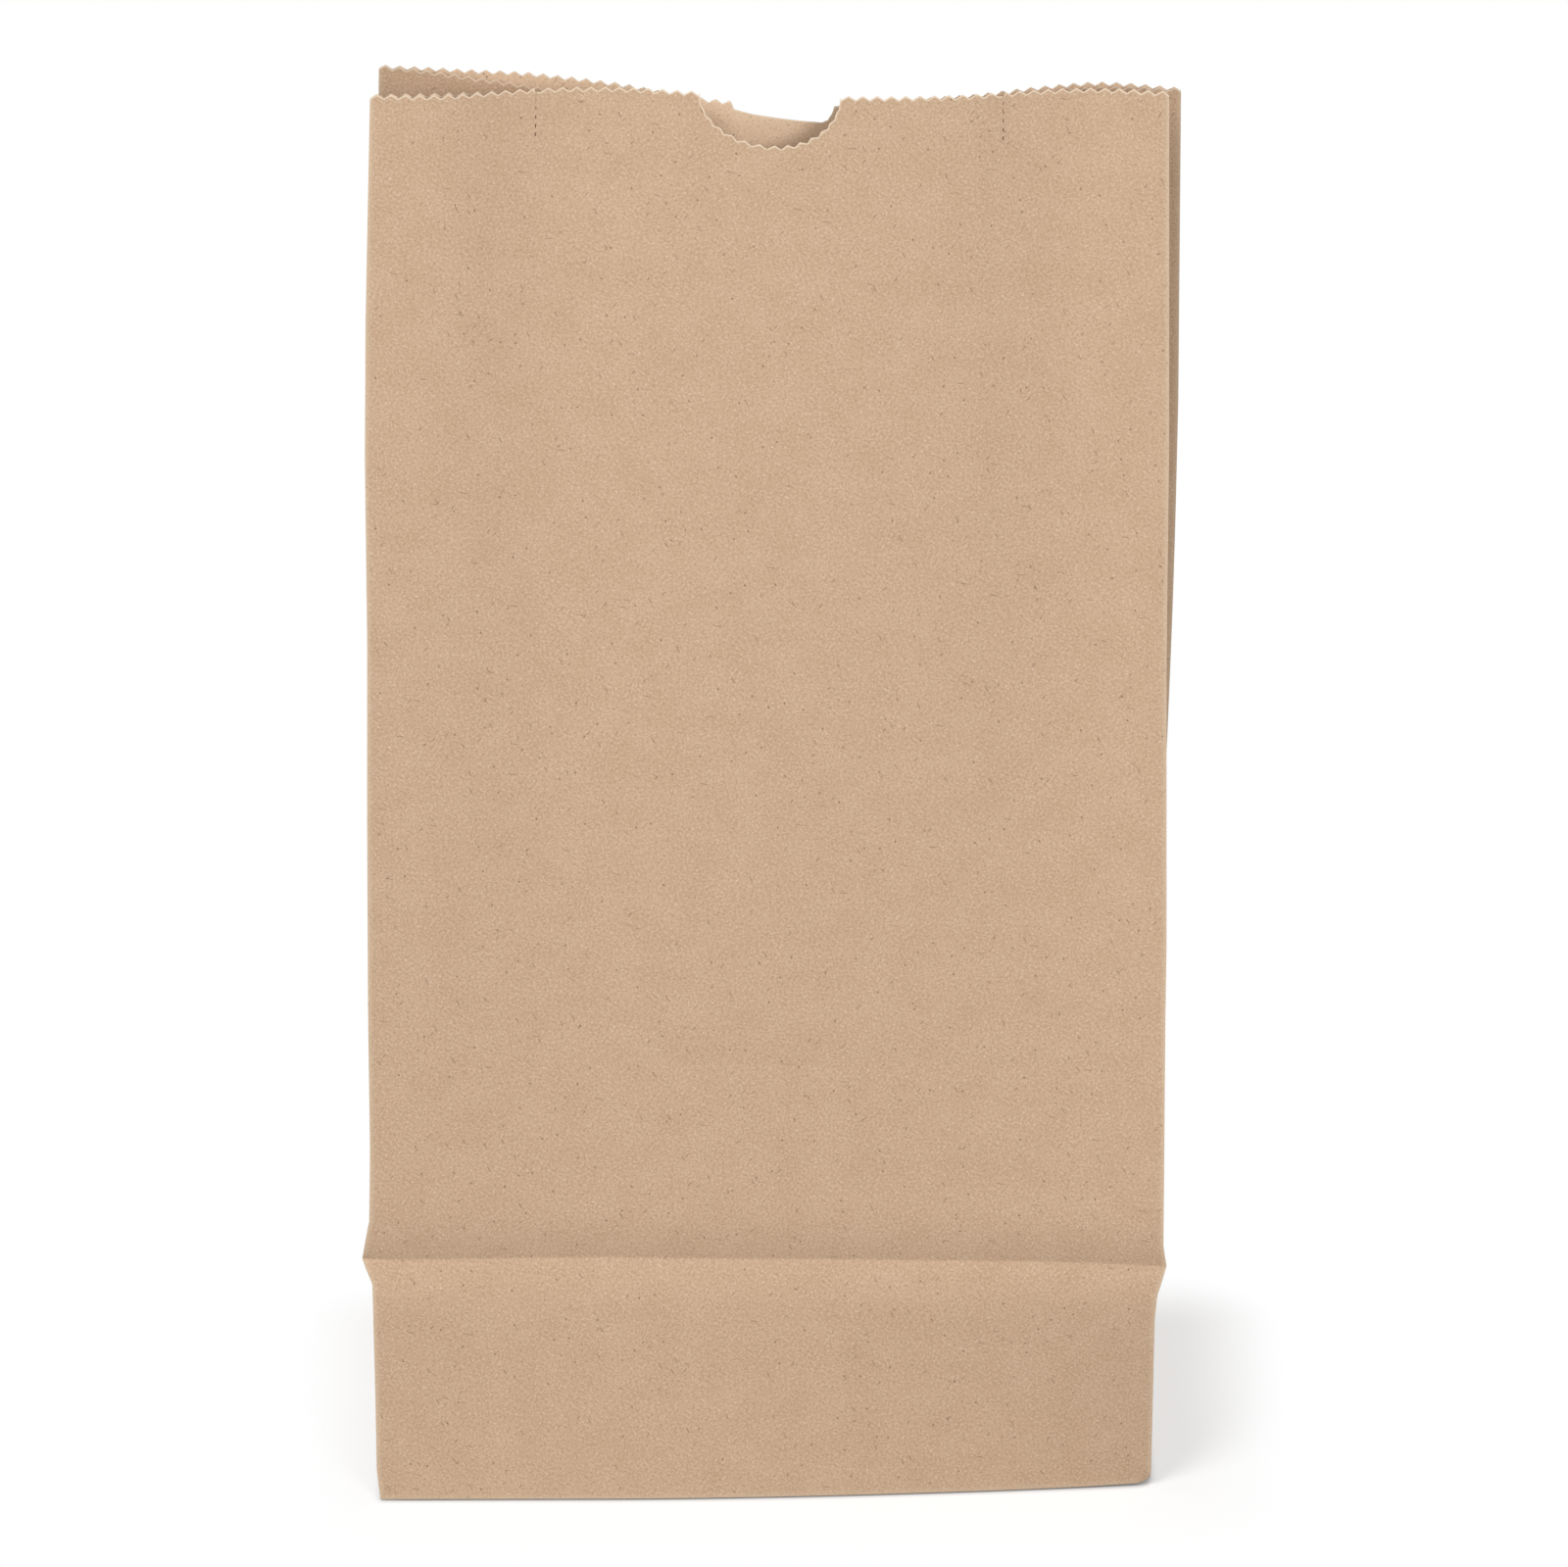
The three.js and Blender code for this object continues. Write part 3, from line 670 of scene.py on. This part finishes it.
def make_active(piece):
    deselect_all()
    piece.select_set(True)
    bpy.context.view_layer.objects.active = piece


def coordinates(mesh):
    values = np.empty(3 * len(mesh.vertices))
    mesh.vertices.foreach_get("co", values)
    return values.reshape(-1, 3)


def set_coordinates(mesh, points):
    mesh.vertices.foreach_set("co", np.ascontiguousarray(points, dtype=np.float32).ravel())
    mesh.update()


def lined_sheet(name, columns, rows):
    """A flat grid with its lines at the places given."""
    deselect_all()
    bpy.ops.mesh.primitive_grid_add(x_subdivisions=len(columns) - 1, y_subdivisions=len(rows) - 1, size=2)
    piece = bpy.context.object
    piece.name = name
    points = coordinates(piece.data)
    i = np.rint((points[:, 0] + 1) / 2 * (len(columns) - 1)).astype(int)
    j = np.rint((points[:, 1] + 1) / 2 * (len(rows) - 1)).astype(int)
    if i.max() != len(columns) - 1 or j.max() != len(rows) - 1:
        raise RuntimeError("the grid has another number of lines than asked for")
    places = [np.array(columns)[i], np.array(rows)[j], np.zeros(len(points))]
    set_coordinates(piece.data, np.stack(places, axis=1))
    return piece


def apply_modifier(piece, kind, **settings):
    make_active(piece)
    bpy.ops.object.modifier_add(type=kind)
    modifier = piece.modifiers[-1]
    for key, value in settings.items():
        setattr(modifier, key, value)
    bpy.ops.object.modifier_apply(modifier=modifier.name)


def trimming_block(name, outline, far):
    """A block over the waste beyond an outline, to cut it off."""
    piece = lined_sheet(name, [point[0] for point in outline], [0, 1])
    points = coordinates(piece.data)
    edge = points[:, 1] < 0.5
    points[~edge, 1] = far
    for k in np.nonzero(edge)[0]:
        nearest = min(outline, key=lambda point: abs(point[0] - points[k, 0]))
        points[k, 1] = nearest[1]
    set_coordinates(piece.data, points)
    apply_modifier(piece, "SOLIDIFY", thickness=CUTTER_HEIGHT, offset=0)
    make_active(piece)
    bpy.ops.object.mode_set(mode="EDIT")
    bpy.ops.mesh.select_all(action="SELECT")
    bpy.ops.mesh.normals_make_consistent(inside=False)
    bpy.ops.object.mode_set(mode="OBJECT")
    return piece


def crease_slanted(piece, form):
    """Cuts the slanted folds of the four side plies into the flat sheet."""
    folds = sheet_folds(form)
    for fold, direction in ((folds[0], 1), (folds[2], -1), (folds[3], 1), (folds[5], -1)):
        make_active(piece)
        bpy.ops.object.mode_set(mode="EDIT")
        bpy.ops.mesh.select_mode(type="FACE")
        bpy.ops.mesh.select_all(action="DESELECT")
        bpy.ops.object.mode_set(mode="OBJECT")
        low, high = sorted((fold, fold + direction * form.gusset_width))
        for face in piece.data.polygons:
            x, y, _ = face.center
            face.select = low < x < high and 0 < y < form.gusset_width
        bpy.ops.object.mode_set(mode="EDIT")
        bpy.ops.mesh.bisect(
            plane_co=(fold, 0, 0), plane_no=(1, -direction, 0), threshold=0.01 * MM,
            clear_inner=False, clear_outer=False, use_fill=False,
        )
        bpy.ops.object.mode_set(mode="OBJECT")


def sheet_lines(sizes, form):
    """Places of the upright and level lines of the flat sheet, closer where it is folded."""
    folds = sheet_folds(form)
    columns = {0, form.sheet_width, form.seam_width}
    columns.update((form.girth - SEAM_STEP, form.girth - SEAM_STEP / 2, form.girth))
    stops = [0, *folds, form.sheet_width]
    for start, end in zip(stops, stops[1:]):
        columns.update(even_steps(start, end, COLUMN_WIDTH))
    columns.update(fold + k for fold in folds for k in FOLD_LINES)
    columns.update(slit + k for slit in slit_places(sizes, form) for k in SLIT_LINES)
    rows = {*FLAP_LINES, *FOLD_LINES}
    rows.update(even_steps(0, form.gusset_width, COLUMN_WIDTH))
    rows.update(form.crease_climb + k for k in CREASE_LINES)
    rows.update(IMPRINT_CLIMB + k for k in IMPRINT_LINES)
    rows.update(even_steps(form.crease_climb + CREASE_LINES[-1], form.length + MM, ROW_HEIGHT))
    return spaced(columns), spaced(rows)


def spaced(lines):
    """The same lines in order, without those that lie too close to the one before."""
    kept = []
    for line in sorted(lines):
        if not kept or line - kept[-1] > CLOSEST_LINES:
            kept.append(line)
    return kept


def cut_sheet(sizes, form):
    columns, rows = sheet_lines(sizes, form)
    sheet = lined_sheet("bag_sheet", columns, rows)
    crease_slanted(sheet, form)
    apply_modifier(sheet, "SOLIDIFY", thickness=form.paper, offset=0)
    for outline, far in (
        (top_outline(sizes, form), form.length + CUT_CLEARANCE),
        (bottom_outline(sizes, form), min(rows) - CUT_CLEARANCE),
    ):
        waste = trimming_block("waste", outline, far)
        apply_modifier(sheet, "BOOLEAN", operation="DIFFERENCE", solver="EXACT", object=waste)
        bpy.data.objects.remove(waste)
    perforate(sheet, sizes, form)
    make_active(sheet)
    bpy.ops.object.mode_set(mode="EDIT")
    bpy.ops.mesh.select_mode(type="VERT")
    bpy.ops.mesh.select_all(action="SELECT")
    bpy.ops.mesh.remove_doubles(threshold=MERGE_DISTANCE)
    bpy.ops.mesh.select_mode(type="FACE")
    bpy.ops.mesh.select_all(action="DESELECT")
    bpy.ops.mesh.select_face_by_sides(number=4, type="GREATER")
    bpy.ops.mesh.quads_convert_to_tris(quad_method="BEAUTY", ngon_method="BEAUTY")
    bpy.ops.object.mode_set(mode="OBJECT")
    refine_top_edge(sheet, form)
    return sheet


def refine_top_edge(sheet, form):
    """Splits the faces next to the cut top edge, so that its pale rim, partly fuzz and partly painted
    highlight, can be thinner than a tooth.
    """
    mesh = sheet.data
    edge = set()
    for face in mesh.polygons:
        if abs(face.normal.z) < 0.5 and face.center.y > form.length - CUT_FUZZ_AND_HIGHLIGHT_CLIMB:
            edge.update(face.vertices)
    for face in mesh.polygons:
        face.select = abs(face.normal.z) > 0.5 and not edge.isdisjoint(face.vertices)
    make_active(sheet)
    bpy.ops.object.mode_set(mode="EDIT")
    bpy.ops.mesh.subdivide(number_cuts=EDGE_CUTS)
    bpy.ops.mesh.select_all(action="DESELECT")
    bpy.ops.mesh.select_face_by_sides(number=4, type="GREATER")
    bpy.ops.mesh.quads_convert_to_tris(quad_method="BEAUTY", ngon_method="BEAUTY")
    bpy.ops.object.mode_set(mode="OBJECT")


def perforate(sheet, sizes, form):
    """Cuts each slit as a line of short slots, with a bridge of paper between them."""
    top = form.length - sizes.tooth_depth - 2 * SLOT_LENGTH
    count = round((sizes.slit_length - sizes.tooth_depth - SLOT_LENGTH) / SLOT_PITCH)
    for along in slit_places(sizes, form):
        deselect_all()
        bpy.ops.mesh.primitive_cube_add(size=1, location=(along, top, 0))
        slot = bpy.context.object
        slot.scale = (SLOT_WIDTH, SLOT_LENGTH, CUTTER_HEIGHT)
        bpy.ops.object.transform_apply(location=True, rotation=False, scale=True)
        apply_modifier(
            slot, "ARRAY", count=count, use_relative_offset=False, use_constant_offset=True,
            constant_offset_displace=(0, -SLOT_PITCH, 0),
        )
        apply_modifier(sheet, "BOOLEAN", operation="DIFFERENCE", solver="EXACT", object=slot)
        bpy.data.objects.remove(slot)


def lay_out_paper(sheet):
    """Gives the flat sheet its UV map, in metres, and marks its cut edges."""
    mesh = sheet.data
    flat = coordinates(mesh)
    while mesh.uv_layers:
        mesh.uv_layers.remove(mesh.uv_layers[0])
    corner_vertices = np.empty(len(mesh.loops), dtype=np.int32)
    mesh.loops.foreach_get("vertex_index", corner_vertices)
    layer = mesh.uv_layers.new(name="paper")
    layer.uv.foreach_set("vector", flat[corner_vertices][:, :2].astype(np.float32).ravel())
    for face in mesh.polygons:
        face.material_index = 1 if abs(face.normal.z) < 0.5 else 0


def mark_wear_and_painted_light(sheet, sizes, form):
    """Stores how rubbed each point is, how far it lies from the cut top edge and if it is inside."""
    mesh = sheet.data
    points = coordinates(mesh)
    around, climb, height = points.T
    rubbed = 1 - np.abs(climb) / FOLD_WEAR_REACH
    for fold in sheet_folds(form):
        rubbed = np.maximum(rubbed, (climb > -MM) * (1 - np.abs(around - fold) / FOLD_WEAR_REACH))
    cut = {k for face in mesh.polygons if face.material_index == 1 for k in face.vertices}
    in_slit = np.zeros(len(points), dtype=bool)
    for slit in slit_places(sizes, form):
        in_slit |= (np.abs(around - slit) < SLOT_WIDTH) & (climb < form.length - sizes.tooth_depth)
    tree = KDTree(len(cut))
    for k in cut:
        if not in_slit[k]:
            tree.insert(points[k], k)
    tree.balance()
    from_cut = np.full(len(points), CUT_FUZZ_AND_HIGHLIGHT_CLIMB)
    for k in np.nonzero(climb > form.length - CUT_FUZZ_AND_HIGHLIGHT_CLIMB)[0]:
        from_cut[k] = tree.find(points[k])[2]
    # Marks the inner side, which the paper material paints paler as painted light
    inside = (height < 0).astype(float)
    for name, values in (("rubbed", np.clip(rubbed, 0, 1)), ("from_cut", from_cut), ("inside", inside)):
        layer = mesh.attributes.new(name=name, type="FLOAT", domain="POINT")
        layer.data.foreach_set("value", values.astype(np.float32))


# Materials


def add_node(tree, kind, settings=None, inputs=None):
    """Adds a node; an input is given as a value or as the socket that feeds it."""
    node = tree.nodes.new(kind)
    for key, value in (settings or {}).items():
        setattr(node, key, value)
    for key, value in (inputs or {}).items():
        if isinstance(value, bpy.types.NodeSocket):
            tree.links.new(value, node.inputs[key])
        else:
            node.inputs[key].default_value = value
    return node


def empty_material(name):
    material = bpy.data.materials.new(name)
    material.use_nodes = True
    material.node_tree.nodes.clear()
    return material


def scattered_marks(tree, sheet_place, size, spacing, turn, share):
    """A mask of lone ellipses, one in a share of the cells of a grid that lies turned on the sheet."""
    width, length = size
    stretch = length / width
    place = add_node(tree, "ShaderNodeMapping", {"vector_type": "TEXTURE"}, {
        "Vector": sheet_place, "Rotation": (0, 0, turn), "Scale": (spacing, spacing * stretch, 1),
    })
    cells = add_node(tree, "ShaderNodeTexVoronoi", {"voronoi_dimensions": "2D"}, {
        "Vector": place.outputs["Vector"], "Scale": 1.0,
    })
    inside = add_node(tree, "ShaderNodeMapRange", inputs={
        "Value": cells.outputs["Distance"], "From Min": 0.7 * width / spacing,
        "From Max": 0.35 * width / spacing,
    })
    lot = add_node(tree, "ShaderNodeSeparateColor", inputs={"Color": cells.outputs["Color"]})
    chosen = add_node(tree, "ShaderNodeMath", {"operation": "LESS_THAN"}, {0: lot.outputs[0], 1: share})
    mask = add_node(tree, "ShaderNodeMath", {"operation": "MULTIPLY"}, {
        0: inside.outputs["Result"], 1: chosen.outputs["Value"],
    })
    return mask.outputs["Value"]


def kraft_paper(finish):
    """Unbleached kraft paper, pressed and dried on a machine.

    Pulp that settled unevenly gives soft clouds, and the matted fibres of the surface give the eye a
    fine grain of light crests and dark hollows. Single fibres, 0.03 mm wide, are too fine to show, so
    the grain is drawn as coarse as the bundles that do. Bark flecks and stray fibres are scattered
    over it, and rubbed folds are paler. The inner side is painted paler, as painted light that
    brightens the inside of the bag. The pale rim along the cut top edge is partly fuzz of open fibres
    and partly painted highlight.
    """
    material = empty_material("unbleached kraft paper")
    tree = material.node_tree
    sheet_place = add_node(tree, "ShaderNodeUVMap", {"uv_map": "paper"}).outputs["UV"]
    clouds = add_node(tree, "ShaderNodeTexNoise", inputs={
        "Vector": sheet_place, "Scale": 1 / CLOUD_SIZE, "Detail": 3.0, "Roughness": 0.6,
    })
    cloudy = add_node(tree, "ShaderNodeMapRange", inputs={
        "Value": clouds.outputs["Fac"], "From Min": 0.35, "From Max": 0.7, "To Max": 0.7,
    })
    inside = add_node(tree, "ShaderNodeAttribute", {"attribute_name": "inside"})
    turned = add_node(tree, "ShaderNodeMapping", inputs={
        "Vector": sheet_place, "Rotation": (0, 0, GRAIN_TURN),
    })
    grain = add_node(tree, "ShaderNodeTexNoise", inputs={
        "Vector": turned.outputs["Vector"], "Scale": 1 / GRAIN_SIZE, "Detail": 2.0, "Roughness": 0.6,
        "Distortion": 0.5,
    })
    hollows = add_node(tree, "ShaderNodeMapRange", inputs={
        "Value": grain.outputs["Fac"], "From Min": 0.5, "From Max": 0.25, "To Max": 0.6,
    })
    crests = add_node(tree, "ShaderNodeMapRange", inputs={
        "Value": grain.outputs["Fac"], "From Min": 0.5, "From Max": 0.75, "To Max": 0.6,
    })
    layers = [
        (cloudy.outputs["Result"], finish.cloud),
        # Painted light: the inner side is coloured paler to brighten the inside of the bag
        (inside.outputs["Fac"], finish.inner),
        (hollows.outputs["Result"], finish.hollow),
        (crests.outputs["Result"], finish.crest),
    ]
    # Each kind of mark: colour, strength, width and length, spacing, turn, share of the places
    for mark_colour, strength, size, spacing, turn, share in (
        (finish.fleck, 0.6, (0.16 * MM, 1.2 * MM), 1.6 * MM, 0.5, 0.09),
        (finish.fleck, 0.6, (0.16 * MM, 0.9 * MM), 1.4 * MM, -0.7, 0.09),
        (finish.fleck, 0.55, (0.14 * MM, 1.6 * MM), 1.5 * MM, 1.4, 0.06),
        (finish.fleck, 0.7, (0.3 * MM, 0.4 * MM), 3 * MM, 0.2, 0.16),
        (finish.speck, 0.45, (0.26 * MM, 0.34 * MM), 2 * MM, 0.9, 0.08),
    ):
        marks = scattered_marks(tree, sheet_place, size, spacing, turn, share)
        amount = add_node(tree, "ShaderNodeMath", {"operation": "MULTIPLY"}, {0: marks, 1: strength})
        layers.append((amount.outputs["Value"], mark_colour))
    rubbed = add_node(tree, "ShaderNodeAttribute", {"attribute_name": "rubbed"})
    wear = add_node(tree, "ShaderNodeMath", {"operation": "MULTIPLY"}, {
        0: rubbed.outputs["Fac"], 1: 0.7,
    })
    layers.append((wear.outputs["Value"], finish.worn))
    # Pale rim along the cut top edge: partly fuzz of open fibres, partly painted highlight
    from_cut = add_node(tree, "ShaderNodeAttribute", {"attribute_name": "from_cut"})
    fuzz_and_highlight = add_node(tree, "ShaderNodeMapRange", inputs={
        "Value": from_cut.outputs["Fac"], "From Min": FUZZ_AND_HIGHLIGHT_START, "From Max": FUZZ_AND_HIGHLIGHT_FULL_AT,
        "To Max": 0.95,
    })
    layers.append((fuzz_and_highlight.outputs["Result"], finish.cut))
    colour = finish.kraft
    for amount, layer_colour in layers:
        colour = add_node(tree, "ShaderNodeMix", {"data_type": "RGBA"}, {
            0: amount, 6: colour, 7: layer_colour,
        }).outputs[2]
    bump = add_node(tree, "ShaderNodeBump", inputs={
        "Strength": 0.4, "Distance": GRAIN_HEIGHT, "Height": grain.outputs["Fac"],
    })
    shader = add_node(tree, "ShaderNodeBsdfPrincipled", inputs={
        "Base Color": colour, "Roughness": finish.roughness, "IOR": 1.5,
        "Specular IOR Level": 0.35, "Normal": bump.outputs["Normal"],
    })
    add_node(tree, "ShaderNodeOutputMaterial", inputs={"Surface": shader.outputs["BSDF"]})
    return material


def cut_kraft_paper(finish):
    """The cut edge of the same paper, whose open fibres are paler and rougher to the eye. Its paler colour
    is partly a painted highlight along the cut.
    """
    material = empty_material("cut edge of kraft paper")
    tree = material.node_tree
    sheet_place = add_node(tree, "ShaderNodeUVMap", {"uv_map": "paper"}).outputs["UV"]
    fibres = add_node(tree, "ShaderNodeTexNoise", inputs={
        "Vector": sheet_place, "Scale": 1 / CUT_FIBRE_SIZE, "Detail": 2.0,
    })
    colour = add_node(tree, "ShaderNodeMix", {"data_type": "RGBA"}, {
        0: fibres.outputs["Fac"], 6: finish.cut, 7: finish.kraft,
    })
    shader = add_node(tree, "ShaderNodeBsdfPrincipled", inputs={
        "Base Color": colour.outputs[2], "Roughness": 0.95, "IOR": 1.5, "Specular IOR Level": 0.2,
    })
    add_node(tree, "ShaderNodeOutputMaterial", inputs={"Surface": shader.outputs["BSDF"]})
    return material


def studio_floor(settings):
    """A matt pale grey studio floor. The camera sees it whiter than it is lit, as in a bright
    exposure, and plain white away from the bag, so only the bag's soft shadow shows on it."""
    material = empty_material("matt pale grey studio floor")
    tree = material.node_tree
    seen = add_node(tree, "ShaderNodeLightPath").outputs["Is Camera Ray"]
    glow = add_node(tree, "ShaderNodeMath", {"operation": "MULTIPLY"}, {
        0: seen, 1: settings.floor_glow,
    })
    # Painted shadow: ambient occlusion darkens the floor's glow in the crevice at the bag's foot, as a thin
    # contact shadow
    painted_contact_shadow = add_node(tree, "ShaderNodeAmbientOcclusion", {"samples": 8}, {"Distance": PAINTED_CONTACT_SHADOW_REACH})
    glow = add_node(tree, "ShaderNodeMath", {"operation": "MULTIPLY"}, {
        0: glow.outputs["Value"], 1: painted_contact_shadow.outputs["AO"],
    })
    matt = add_node(tree, "ShaderNodeBsdfDiffuse", inputs={"Color": settings.floor})
    light = add_node(tree, "ShaderNodeEmission", inputs={"Strength": glow.outputs["Value"]})
    near = add_node(tree, "ShaderNodeAddShader", inputs={
        0: matt.outputs["BSDF"], 1: light.outputs["Emission"],
    })
    beyond = add_node(tree, "ShaderNodeTexCoord").outputs["Object"]
    for operation, value in (
        ("SUBTRACT", SHADOW_CENTRE), ("ABSOLUTE", (0, 0, 0)), ("SUBTRACT", SHADOW_HALF_SIZE),
        ("MAXIMUM", (0, 0, 0)),
    ):
        beyond = add_node(tree, "ShaderNodeVectorMath", {"operation": operation}, {
            0: beyond, 1: value,
        }).outputs["Vector"]
    distance = add_node(tree, "ShaderNodeVectorMath", {"operation": "LENGTH"}, {0: beyond})
    far = add_node(tree, "ShaderNodeMapRange", {"interpolation_type": "SMOOTHSTEP"}, {
        "Value": distance.outputs["Value"], "From Min": 0, "From Max": SHADOW_FADE,
    })
    seen_far = add_node(tree, "ShaderNodeMath", {"operation": "MULTIPLY"}, {
        0: seen, 1: far.outputs["Result"],
    })
    white = add_node(tree, "ShaderNodeEmission", inputs={"Strength": 1.0})
    mix = add_node(tree, "ShaderNodeMixShader", inputs={
        0: seen_far.outputs["Value"], 1: near.outputs["Shader"], 2: white.outputs["Emission"],
    })
    add_node(tree, "ShaderNodeOutputMaterial", inputs={"Surface": mix.outputs["Shader"]})
    return material


def room_light(settings):
    """Even light from all sides, seen by the camera as white."""
    world = bpy.data.worlds.new("white room")
    world.use_nodes = True
    tree = world.node_tree
    tree.nodes.clear()
    path = add_node(tree, "ShaderNodeLightPath").outputs["Is Camera Ray"]
    light = add_node(tree, "ShaderNodeBackground", inputs={"Strength": settings.room_strength})
    white = add_node(tree, "ShaderNodeBackground", inputs={"Strength": 1.0})
    for node in (light, white):
        node.inputs["Color"].default_value = (1, 1, 1, 1)
    mix = add_node(tree, "ShaderNodeMixShader", inputs={
        0: path, 1: light.outputs["Background"], 2: white.outputs["Background"],
    })
    add_node(tree, "ShaderNodeOutputWorld", inputs={"Surface": mix.outputs["Shader"]})
    bpy.context.scene.world = world


class KRAFTBAG_OT_bag(bpy.types.Operator):
    """Make the folded paper bag from one trimmed sheet of kraft paper"""

    bl_idname = "kraftbag.bag"
    bl_label = "Paper bag"

    def execute(self, context):
        sizes = context.scene.bag_sizes
        form = BagForm(sizes)
        sheet = cut_sheet(sizes, form)
        lay_out_paper(sheet)
        mark_wear_and_painted_light(sheet, sizes, form)
        set_coordinates(sheet.data, form.bend(coordinates(sheet.data)))
        sheet.data.materials.append(kraft_paper(context.scene.kraft_finish))
        sheet.data.materials.append(cut_kraft_paper(context.scene.kraft_finish))
        make_active(sheet)
        bpy.ops.object.shade_smooth_by_angle(angle=SHARPEST_SMOOTHED)
        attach(sheet, "root")
        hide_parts("paper_bag")
        return {"FINISHED"}


def add_lamp(name, place, size, strength):
    """A round lamp that shines at the bag."""
    bpy.ops.object.light_add(type="AREA", location=place)
    lamp = bpy.context.object
    lamp.name = name
    lamp.data.shape = "DISK"
    lamp.data.size = size
    lamp.data.energy = strength
    lamp.rotation_euler = (Vector(LAMP_AIM) - Vector(place)).to_track_quat("-Z", "Y").to_euler()


class KRAFTBAG_OT_stage(bpy.types.Operator):
    """Make the floor, the studio light and the camera"""

    bl_idname = "kraftbag.stage"
    bl_label = "Stage"

    def execute(self, context):
        settings = context.scene.stage_settings
        deselect_all()
        bpy.ops.mesh.primitive_plane_add(size=FLOOR_SIZE, location=(0, 0, -FLOOR_CLEARANCE))
        floor = context.object
        floor.name = "floor"
        floor.data.materials.append(studio_floor(settings))
        room_light(settings)
        add_lamp("key light", *KEY_LAMP, settings.key_strength)
        add_lamp("fill light", *FILL_LAMP, settings.fill_strength)
        add_camera(settings)
        return {"FINISHED"}


def add_camera(settings):
    """The camera stands in front of the bag and looks a little down on it."""
    rise, turn, roll = settings.camera_elevation, settings.camera_turn, settings.camera_roll
    forward = Vector((
        math.sin(turn) * math.cos(rise), math.cos(turn) * math.cos(rise), -math.sin(rise),
    ))
    level = Vector((math.cos(turn), -math.sin(turn), 0))
    upright = level.cross(forward)
    right = level * math.cos(roll) + upright * math.sin(roll)
    up = upright * math.cos(roll) - level * math.sin(roll)
    bpy.ops.object.camera_add()
    camera = bpy.context.object
    camera.name = "camera"
    matrix = Matrix((right, up, -forward)).transposed().to_4x4()
    matrix.translation = Vector(CAMERA_AIM) - forward * settings.camera_distance
    camera.matrix_world = matrix
    camera.data.sensor_width = SENSOR_WIDTH
    pixels_at_one_metre = settings.pixels_per_metre * settings.camera_distance
    camera.data.lens = pixels_at_one_metre * SENSOR_WIDTH / IMAGE_WIDTH
    camera.data.clip_start = 0.1
    camera.data.clip_end = 50
    bpy.context.scene.camera = camera


class KRAFTBAG_PT_panel(bpy.types.Panel):
    bl_idname = "KRAFTBAG_PT_panel"
    bl_label = "Paper Bag"
    bl_space_type = "VIEW_3D"
    bl_region_type = "UI"
    bl_category = "Paper Bag"

    def draw(self, context):
        scene = context.scene
        for group in (scene.bag_sizes, scene.kraft_finish, scene.stage_settings):
            box = self.layout.box()
            for key in group.bl_rna.properties.keys():
                if key not in ("rna_type", "name"):
                    box.prop(group, key)
        self.layout.operator(KRAFTBAG_OT_bag.bl_idname)
        self.layout.operator(KRAFTBAG_OT_stage.bl_idname)


GROUPS = {"bag_sizes": BagSizes, "kraft_finish": KraftFinish, "stage_settings": StageSettings}
CLASSES = (*GROUPS.values(), KRAFTBAG_OT_bag, KRAFTBAG_OT_stage, KRAFTBAG_PT_panel)


def register():
    for item in CLASSES:
        bpy.utils.register_class(item)
    for key, group in GROUPS.items():
        setattr(bpy.types.Scene, key, bpy.props.PointerProperty(type=group))


def unregister():
    for key in GROUPS:
        delattr(bpy.types.Scene, key)
    for item in reversed(CLASSES):
        bpy.utils.unregister_class(item)


def main():
    register()
    bpy.context.scene.view_settings.view_transform = "Standard"
    bpy.ops.kraftbag.bag()
    bpy.ops.kraftbag.stage()
    bpy.context.view_layer.update()


if __name__ == "__main__":
    main()
